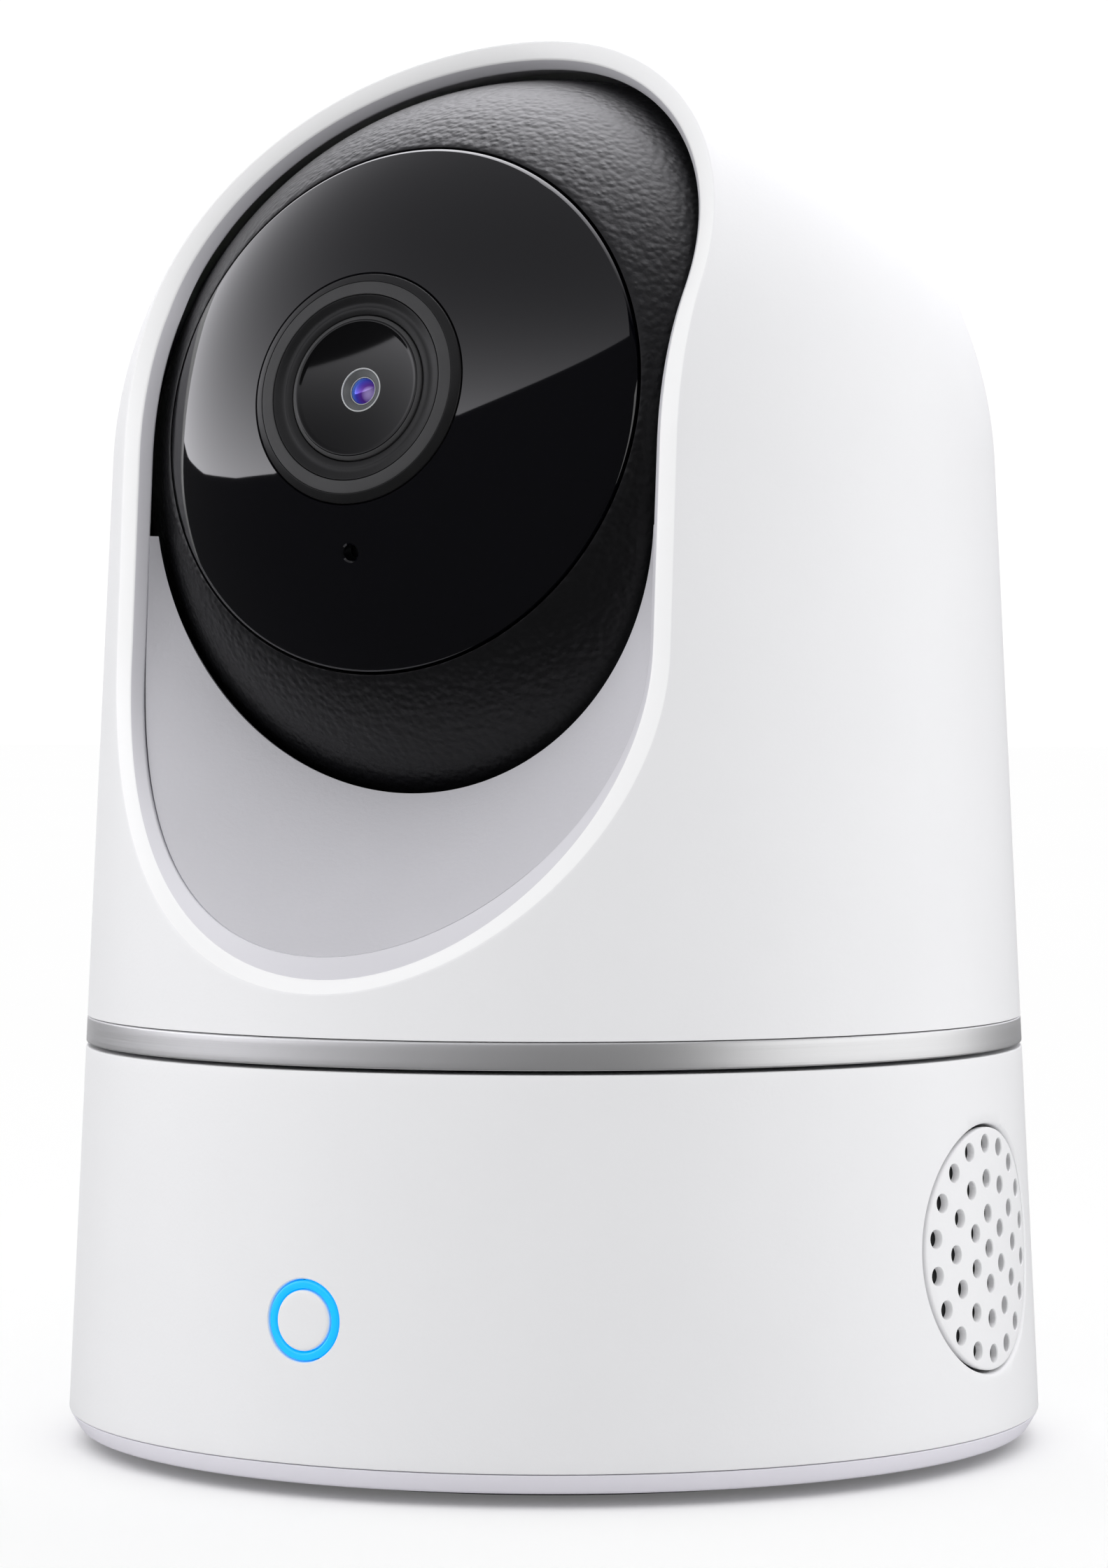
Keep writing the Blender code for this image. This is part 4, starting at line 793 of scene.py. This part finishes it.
def ball():
    inner = BALL_RADIUS - BALL_WALL
    seat = np.sqrt(BALL_RADIUS**2 - FACE_RADIUS**2)
    ledge = FACE_RADIUS - 1.5
    lip = rounded([(FACE_RADIUS + 0.12, seat - 0.15, 0), (FACE_RADIUS, seat - 0.4, 0.1), (FACE_RADIUS, seat - 1.7, 0.1),
                   (ledge, seat - 1.7, 0.2), (ledge, seat - 3.1, 0.2)], spacing=0.5)
    out = arc(BALL_RADIUS, degrees_up(BALL_RADIUS, SPLIT), degrees_at(BALL_RADIUS, FACE_RADIUS + 0.2), 60)
    within = arc(inner, degrees_up(inner, seat - 3.3), degrees_up(inner, SPLIT), 30)
    half_ball("ball_front", np.concatenate([out, lip, within]), "head_front_shell")
    split = SPLIT - BALL_GAP
    out = arc(BALL_RADIUS, -90, degrees_up(BALL_RADIUS, split), 60)
    half_ball("ball_rear", np.concatenate([out, arc(inner, degrees_up(inner, split), -90, 40)]), "head_rear_shell")


ball()

# %% [markdown]
# The face continues the ball's own sphere, with a thin gap round it. It has a hole for the lens and
# a pinhole for the microphone, 22.5 degrees below the lens.

# %% Face
BEZEL_RADIUS = 8.54
MIC_DROP = np.radians(22.5)


def face():
    outer, hole, thin = FACE_RADIUS - 0.1, BEZEL_RADIUS + 0.06, BALL_RADIUS - 1.2
    front = arc(BALL_RADIUS, degrees_at(BALL_RADIUS, hole + 0.08), degrees_at(BALL_RADIUS, outer - 0.12), 60)
    back = arc(thin, degrees_at(thin, outer), degrees_at(thin, hole), 24)
    profile = np.concatenate([front, [(outer, front[-1, 1] - 0.16)], back, [(hole, front[0, 1] - 0.08)]])
    made = piece("face_panel", [(spin(profile, BALL_PLACE, LENS_AXIS, 256), True, True)], face_plastic, "tilt",
                 ["face_glass"])
    down = LENS_AXIS * np.cos(MIC_DROP) + np.array([0, -np.sin(REST_TILT), -np.cos(REST_TILT)]) * np.sin(MIC_DROP)
    pin = np.array([(0, 34), (0.72, 34), (0.72, BALL_RADIUS - 0.02), (0.6, BALL_RADIUS - 0.14), (0.6, 28), (0, 28)])
    cut(made, piece("cutter", [(spin(pin, BALL_PLACE, down, 40), True, False)], None))


face()

# %% [markdown]
# The lens is a nest of turned rings. Outside is a dark cone, then a paler flat land, a fine groove,
# a second cone with a ridge, and the barrel's mouth. Each ring is its own profile, and the grooves
# between them are real steps a few hundredths of a millimetre wide.

# %% Lens rings
def lens_part(name, profile, material, nodes=(), closed=True, count=160):
    """A turned part on the lens's axis. Its heights are counted from the ball's centre."""
    piece(name, [(spin(profile, BALL_PLACE, LENS_AXIS, count), True, closed)], material, "tilt", nodes)


def lens_rings(seat, low):
    """Four rings whose heights are counted from the seat, the height at which the face's hole begins."""
    cone = [(BEZEL_RADIUS, low, 0.1), (BEZEL_RADIUS, seat + 0.02, 0.1), (7.9, seat + 0.34, 0.06), (7.9, low, 0.05)]
    land = [(7.88, low, 0.05), (7.88, seat + 0.33, 0.06), (6.94, seat + 0.42, 0.06), (6.94, low, 0.05)]
    ridge = [(6.88, low, 0.05), (6.88, seat + 0.38, 0.06), (6.2, seat + 0.1, 0.2), (5.95, seat + 0.16, 0.2),
             (5.44, seat + 0.02, 0.08), (5.44, low, 0.05)]
    barrel = [(5.38, low - 6, 0.1), (5.38, seat + 0.12, 0.08), (5.05, seat + 0.24, 0.1), (4.9, seat - 0.1, 0.1),
              (4.9, low - 6, 0.1)]
    lens_part("lens_outer_cone", ring_rounded(cone, spacing=0.3), anodised_black, ["lens_bezel"])
    lens_part("lens_pale_land", ring_rounded(land, spacing=0.3), anodised_grey)
    lens_part("lens_inner_cone", ring_rounded(ridge, spacing=0.25), anodised_black)
    lens_part("lens_mouth", ring_rounded(barrel, spacing=0.5), anodised_grey, ["lens_barrel"])


LENS_SEAT = np.sqrt(BALL_RADIUS**2 - BEZEL_RADIUS**2)
lens_rings(LENS_SEAT, LENS_SEAT - 2.6)

# %% [markdown]
# The front element is a shallow black dish with a small window in its middle, so it turns the
# reflections upside down: dark above, bright across the middle. In the window sits a pale rim, a
# speckled cone and the violet lens itself. Nothing behind the dish shows, so it is opaque.

# %% Front element, iris and inner lens
DISH_RADIUS = 17.0
WINDOW = LENS_SEAT - 0.45


def front_element():
    """The dish's height at radius r is window + (R - sqrt(R^2 - r^2)), counted from the window's edge."""
    r = np.linspace(1.66, 4.75, 30)
    rise = DISH_RADIUS - np.sqrt(DISH_RADIUS**2 - r**2)
    dish = np.stack([r, WINDOW + rise - rise[0]], 1)
    t = np.radians(np.linspace(110, 0, 14))
    lip = np.stack([4.98 + 0.24 * np.cos(t), dish[-1, 1] - 0.14 + 0.24 * np.sin(t)], 1)
    rest = [(5.22, WINDOW - 1.4), (1.66, WINDOW - 1.4), (1.66, WINDOW - 0.06)]
    lens_part("lens_front_dish", np.concatenate([dish, lip, rest]), front_glass, ["lens_front_element"])


def window_ring(name, outer, inner, top, low, fillets, material, nodes=(), spacing=0.2):
    """A small ring whose heights, top = (outside, inside) and low, are counted from the window."""
    corners = [(outer, WINDOW + low, fillets[1]), (outer, WINDOW + top[0], fillets[0]),
               (inner, WINDOW + top[1], fillets[0]), (inner, WINDOW + low, fillets[1])]
    lens_part(name, ring_rounded(corners, spacing=spacing), material, nodes, count=96)


def inner_lens(radius=0.96, curve=1.35):
    bead = arc(curve, 90, degrees_at(curve, radius), 24, WINDOW + 0.02 - curve)
    bead = np.concatenate([bead, [(radius, WINDOW - 1.15), (0, WINDOW - 1.15)]])
    lens_part("lens_inner_glass", bead, violet_glass, closed=False, count=96)


front_element()
window_ring("lens_window_rim", 1.64, 1.54, (0.03, 0.03), -1.3, (0.04, 0.03), iris_rim, spacing=0.3)
window_ring("lens_iris_cone", 1.52, 1.06, (-0.06, -0.34), -1.25, (0.02, 0.02), iris_grey, ["lens_iris"])
window_ring("lens_inner_rim", 1.04, 0.98, (-0.3, -0.3), -1.2, (0.03, 0.02), iris_rim)
inner_lens()

# %% [markdown]
# At the back, the power socket is a folded steel shell with a plastic tongue in it. Its outline is
# a flattened superellipse, and the shell is that outline twice, one inside the other. A moulded
# recess round it hides the inside of the case.

# %% Power socket
SOCKET_LOW, SOCKET_HIGH = node_box("usb_socket")


def socket_loop(scale_x, scale_z, y):
    return superellipse(SOCKET_LOW[[0, 2]], SOCKET_HIGH[[0, 2]], 3, (scale_x, scale_z), y)


def power_socket():
    front, rear = SOCKET_HIGH[1], SOCKET_LOW[1]
    shell = [socket_loop(0, 0, rear), socket_loop(1, 1, rear), socket_loop(1, 1, front - 0.15),
             socket_loop(0.98, 0.95, front), socket_loop(0.9, 0.76, front), socket_loop(0.87, 0.7, front - 0.2),
             socket_loop(0.87, 0.7, rear + 1), socket_loop(0, 0, rear + 1)]
    tongue = [socket_loop(0, 0, rear + 1.1), socket_loop(0.62, 0.2, rear + 1.1), socket_loop(0.62, 0.2, front - 1.3),
              socket_loop(0.6, 0.16, front - 1.1), socket_loop(0, 0, front - 1.1)]
    piece("socket_shell", [(np.stack(shell), False, True)], plated_steel, "base", ["usb_socket"])
    piece("socket_tongue", [(np.stack(tongue), False, True)], black_nylon, "base", [])


def plug_recess():
    """The opening's outline carried inward as a tube, and closed by a wall with a hole close round the socket."""
    front, rear, wall = 35.2, 29.8, 30.6
    rows = [slot_loop(1.02, front), slot_loop(1.02, wall), socket_loop(1.06, 1.12, wall),
            socket_loop(1.06, 1.12, rear), slot_loop(1.14, rear), slot_loop(1.14, front)]
    piece("plug_recess", [(np.stack(rows), True, True)], white_abs, "base", [])


power_socket()
plug_recess()

# %% [markdown]
# The rest of the CAD model keeps its own shape: motors, gears, boards and screws inside the case.
# Each gets the material of the real piece.

# %% Materials of the inner pieces
SCREWS = [f"{place}_screw_{number}" for place, count in (("cover", 3), ("dome", 3), ("motor", 2))
          for number in range(1, count + 1)]
INNER = {
    "base_deck turntable yoke_left yoke_right": pale_abs,
    "pan_bearing pan_gear pan_pinion tilt_gear tilt_pinion": white_nylon,
    "button_switch speaker_cone pivot_bush_left pivot_bush_right": black_nylon,
    "button_board main_board wifi_antenna led_board sensor_board": board_green,
    "status_led": led_resin,
    "ir_led_1 ir_led_2 ir_led_3 ir_led_4": smoked_clear,
    "buffer_capacitor": capacitor_sleeve,
    "image_sensor": anodised_black,
    "lens_rear_element": front_glass,
    "speaker_basket speaker_magnet shield_can pan_motor tilt_motor microphone pivot_pin_left pivot_pin_right "
    + " ".join(SCREWS): plated_steel,
}
for names, finish in INNER.items():
    for name in names.split():
        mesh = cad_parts[name].data
        mesh.materials.clear()
        mesh.materials.append(finish)
print("inner pieces:", sum(len(names.split()) for names in INNER))

# %% [markdown]
# The studio: a pale floor that runs out of sight under a white surround. The surround lights the
# white plastic evenly, but mirrors see it dark, as if they stood in a black tent. A great curved
# sheet of silk is what the black face mirrors. It is brightest along its lower edge and fades
# upwards, and it adds nothing but reflections.

# %% Floor, surround and silk
REACH = 900.0
FLOOR_HALF = 12000.0
SILK_TOP = np.radians(88)


def stage_floor():
    half = FLOOR_HALF
    grid = np.array([[(-half, -half, 0), (-half, half, 0)], [(half, -half, 0), (half, half, 0)]], float)
    made, tree, shader, where = new_material("painted_studio_floor", Roughness=0.9, Specular_IOR_Level=0.0)
    tone(tree, shader, where, "#FAFAFA", "#FCFCFC", 300.0)
    seen = add(tree, "MapRange", Value=add(tree, "LightPath").outputs["Is Camera Ray"], To_Max=0.12)
    link(tree, seen, shader.inputs["Emission Strength"])
    floor = piece("floor", [(grid, False, False)], made)
    floor.visible_glossy = False
    return floor


def surround(seen, on_matt, in_mirrors):
    """One white world, of a different strength for the eye, for matt surfaces and for reflections."""
    world = bpy.data.worlds.new("white_surround")
    world.use_nodes = True
    bpy.context.scene.world = world
    tree = world.node_tree
    ray = add(tree, "LightPath")
    direct = add(tree, "MapRange", Value=ray.outputs["Is Camera Ray"], To_Min=on_matt, To_Max=seen)
    mirrored = add(tree, "MapRange", Value=ray.outputs["Is Glossy Ray"], To_Min=direct, To_Max=in_mirrors)
    link(tree, mirrored, tree.nodes["Background"].inputs["Strength"])
    tree.nodes["Background"].inputs["Color"].default_value = (1, 1, 1, 1)


def glowing(name, grid, strength):
    """A sheet that only mirrors see. Strength is a function of (tree, Object coordinates) giving a node."""
    made = bpy.data.materials.new(name)
    made.use_nodes = True
    tree = made.node_tree
    tree.nodes.remove(tree.nodes["Principled BSDF"])
    where = add(tree, "TexCoord").outputs["Object"]
    light = add(tree, "Emission", Color=linear("#FBFAFF"), Strength=strength(tree, where))
    link(tree, light, tree.nodes["Material Output"].inputs["Surface"])
    sheet = piece(name, [(grid, False, False)], made)
    sheet.visible_camera = sheet.visible_diffuse = sheet.visible_shadow = False


def silk():
    """A patch of a great sphere round the ball. Its lower edge dips at the left and climbs to the right;
    each column runs from that edge to near the zenith. Strength = high + (low - high) (1 - h)^p at share h
    of the full height."""
    across = np.radians(np.linspace(-124, 75, 160))
    corners = np.radians([(-124, 19), (-112, 13), (-104, 9), (-96, 5.2), (-86, 3), (-70, 1.8), (-50, 2.2), (0, 15),
                          (75, 47)])
    low = np.interp(across, corners[:, 0], corners[:, 1])
    rise = low + (SILK_TOP - low) * np.linspace(0, 1, 40)[:, None]
    grid = np.stack([REACH * np.cos(rise) * np.sin(across), -REACH * np.cos(rise) * np.cos(across),
                     BALL_CENTRE + REACH * np.sin(rise)], -1)

    def strength(tree, where):
        height = add(tree, "SeparateXYZ", None, where).outputs["Z"]
        below = add(tree, "MapRange", None, height, BALL_CENTRE * MM, (BALL_CENTRE + REACH) * MM, 1.0, 0.0)
        fade = add(tree, "Math", {"operation": "POWER"}, below, 2.6)
        return add(tree, "MapRange", None, fade, 0.0, 1.0, 0.36, 4.2)

    glowing("lit_white_silk", grid, strength)


def canopy():
    """A round sheet high behind, brightest at its middle. Strength = L (1 - (d / w)^2)^2 at angle d from its
    axis, worked out from the cosine: 1 - cos d is nearly d^2 / 2."""
    back, up, wide = np.radians(-172), np.radians(60), np.radians(66)
    axis = np.array([np.cos(up) * np.sin(back), -np.cos(up) * np.cos(back), np.sin(up)])
    profile = arc(REACH * 1.1, 90, 90 - np.degrees(wide), 40)
    grid = spin(profile, BALL_PLACE, axis, 64)
    grid = np.concatenate([grid, grid[:1]])

    def strength(tree, where):
        out = add(tree, "VectorMath", {"operation": "SUBTRACT"}, where, BALL_PLACE * MM)
        along = add(tree, "VectorMath", {"operation": "DOT_PRODUCT"}, out, axis / (REACH * 1.1 * MM))
        share = add(tree, "MapRange", None, along.outputs["Value"], np.cos(wide), 1.0)
        fade = add(tree, "Math", {"operation": "POWER"}, share, 2.0)
        return add(tree, "Math", {"operation": "MULTIPLY"}, fade, 5.6)

    glowing("lit_round_canopy", grid, strength)


floor = stage_floor()
silk()
canopy()
surround(seen=1.05, on_matt=0.3, in_mirrors=0.05)

# %% [markdown]
# Two softboxes stand left and right of the viewer, so the front of the case is a little darker than
# its flanks, and a weak one lights its rear edge. None of them reaches the floor. Soft daylight from
# above whitens that, and leaves a gentle shadow at the foot.

# %% Lamps
LOOK_Z = 55.0
LAMP_DISTANCE = 620.0


def lamp(name, azimuth, height, size, watts, in_mirrors):
    """A softbox (wide, high) at an azimuth round the camera's axis, looking at a point on that axis."""
    a = np.radians(azimuth)
    place = np.array([np.sin(a) * LAMP_DISTANCE, -np.cos(a) * LAMP_DISTANCE, height])
    light = bpy.data.lights.new(name, "AREA")
    light.shape = "RECTANGLE"
    light.size, light.size_y = size[0] * MM, size[1] * MM
    light.energy = watts
    made = bpy.data.objects.new(name, light)
    made.location = place * MM
    made.rotation_euler = Vector(place - (0, 0, LOOK_Z)).to_track_quat("Z", "Y").to_euler()
    made.visible_glossy = in_mirrors
    made.light_linking.receiver_collection = off_the_floor
    bpy.context.scene.collection.objects.link(made)


off_the_floor = bpy.data.collections.new("off_the_floor")
off_the_floor.objects.link(floor)
off_the_floor.collection_objects[0].light_linking.link_state = "EXCLUDE"
lamp("left_box", -46.0, 180.0, (420.0, 420.0), 1.3, in_mirrors=False)
lamp("right_box", 108.0, 130.0, (1000.0, 420.0), 2.1, in_mirrors=True)
lamp("rim_box", -140.0, 120.0, (420.0, 420.0), 0.35, in_mirrors=True)
daylight = bpy.data.lights.new("daylight", "SUN")
daylight.energy, daylight.angle = 1.9, np.radians(110)
sky = bpy.data.objects.new("daylight", daylight)
sky.visible_glossy = False
bpy.context.scene.collection.objects.link(sky)

# %% [markdown]
# The camera stands 367 mm from the axis, a little below the middle of the head, and looks almost
# level. So near a lens shows the taper of the base and the roundness of its lower edge.

# %% Camera
CAMERA_AZIMUTH = np.radians(28.8)
CAMERA_DISTANCE = 366.82
CAMERA_HEIGHT = 54.77
LOOKS_DOWN = np.radians(0.69)
camera = bpy.data.cameras.new("camera")
camera.sensor_width = 36.0
camera.lens = 108.45
camera.clip_start = 0.01
viewer = bpy.data.objects.new("camera", camera)
viewer.location = (np.sin(CAMERA_AZIMUTH) * CAMERA_DISTANCE * MM, -np.cos(CAMERA_AZIMUTH) * CAMERA_DISTANCE * MM,
                   CAMERA_HEIGHT * MM)
viewer.rotation_euler = (np.pi / 2 - LOOKS_DOWN, 0, CAMERA_AZIMUTH)
bpy.context.scene.collection.objects.link(viewer)
bpy.context.scene.camera = viewer
bpy.context.scene.view_settings.view_transform = "Standard"
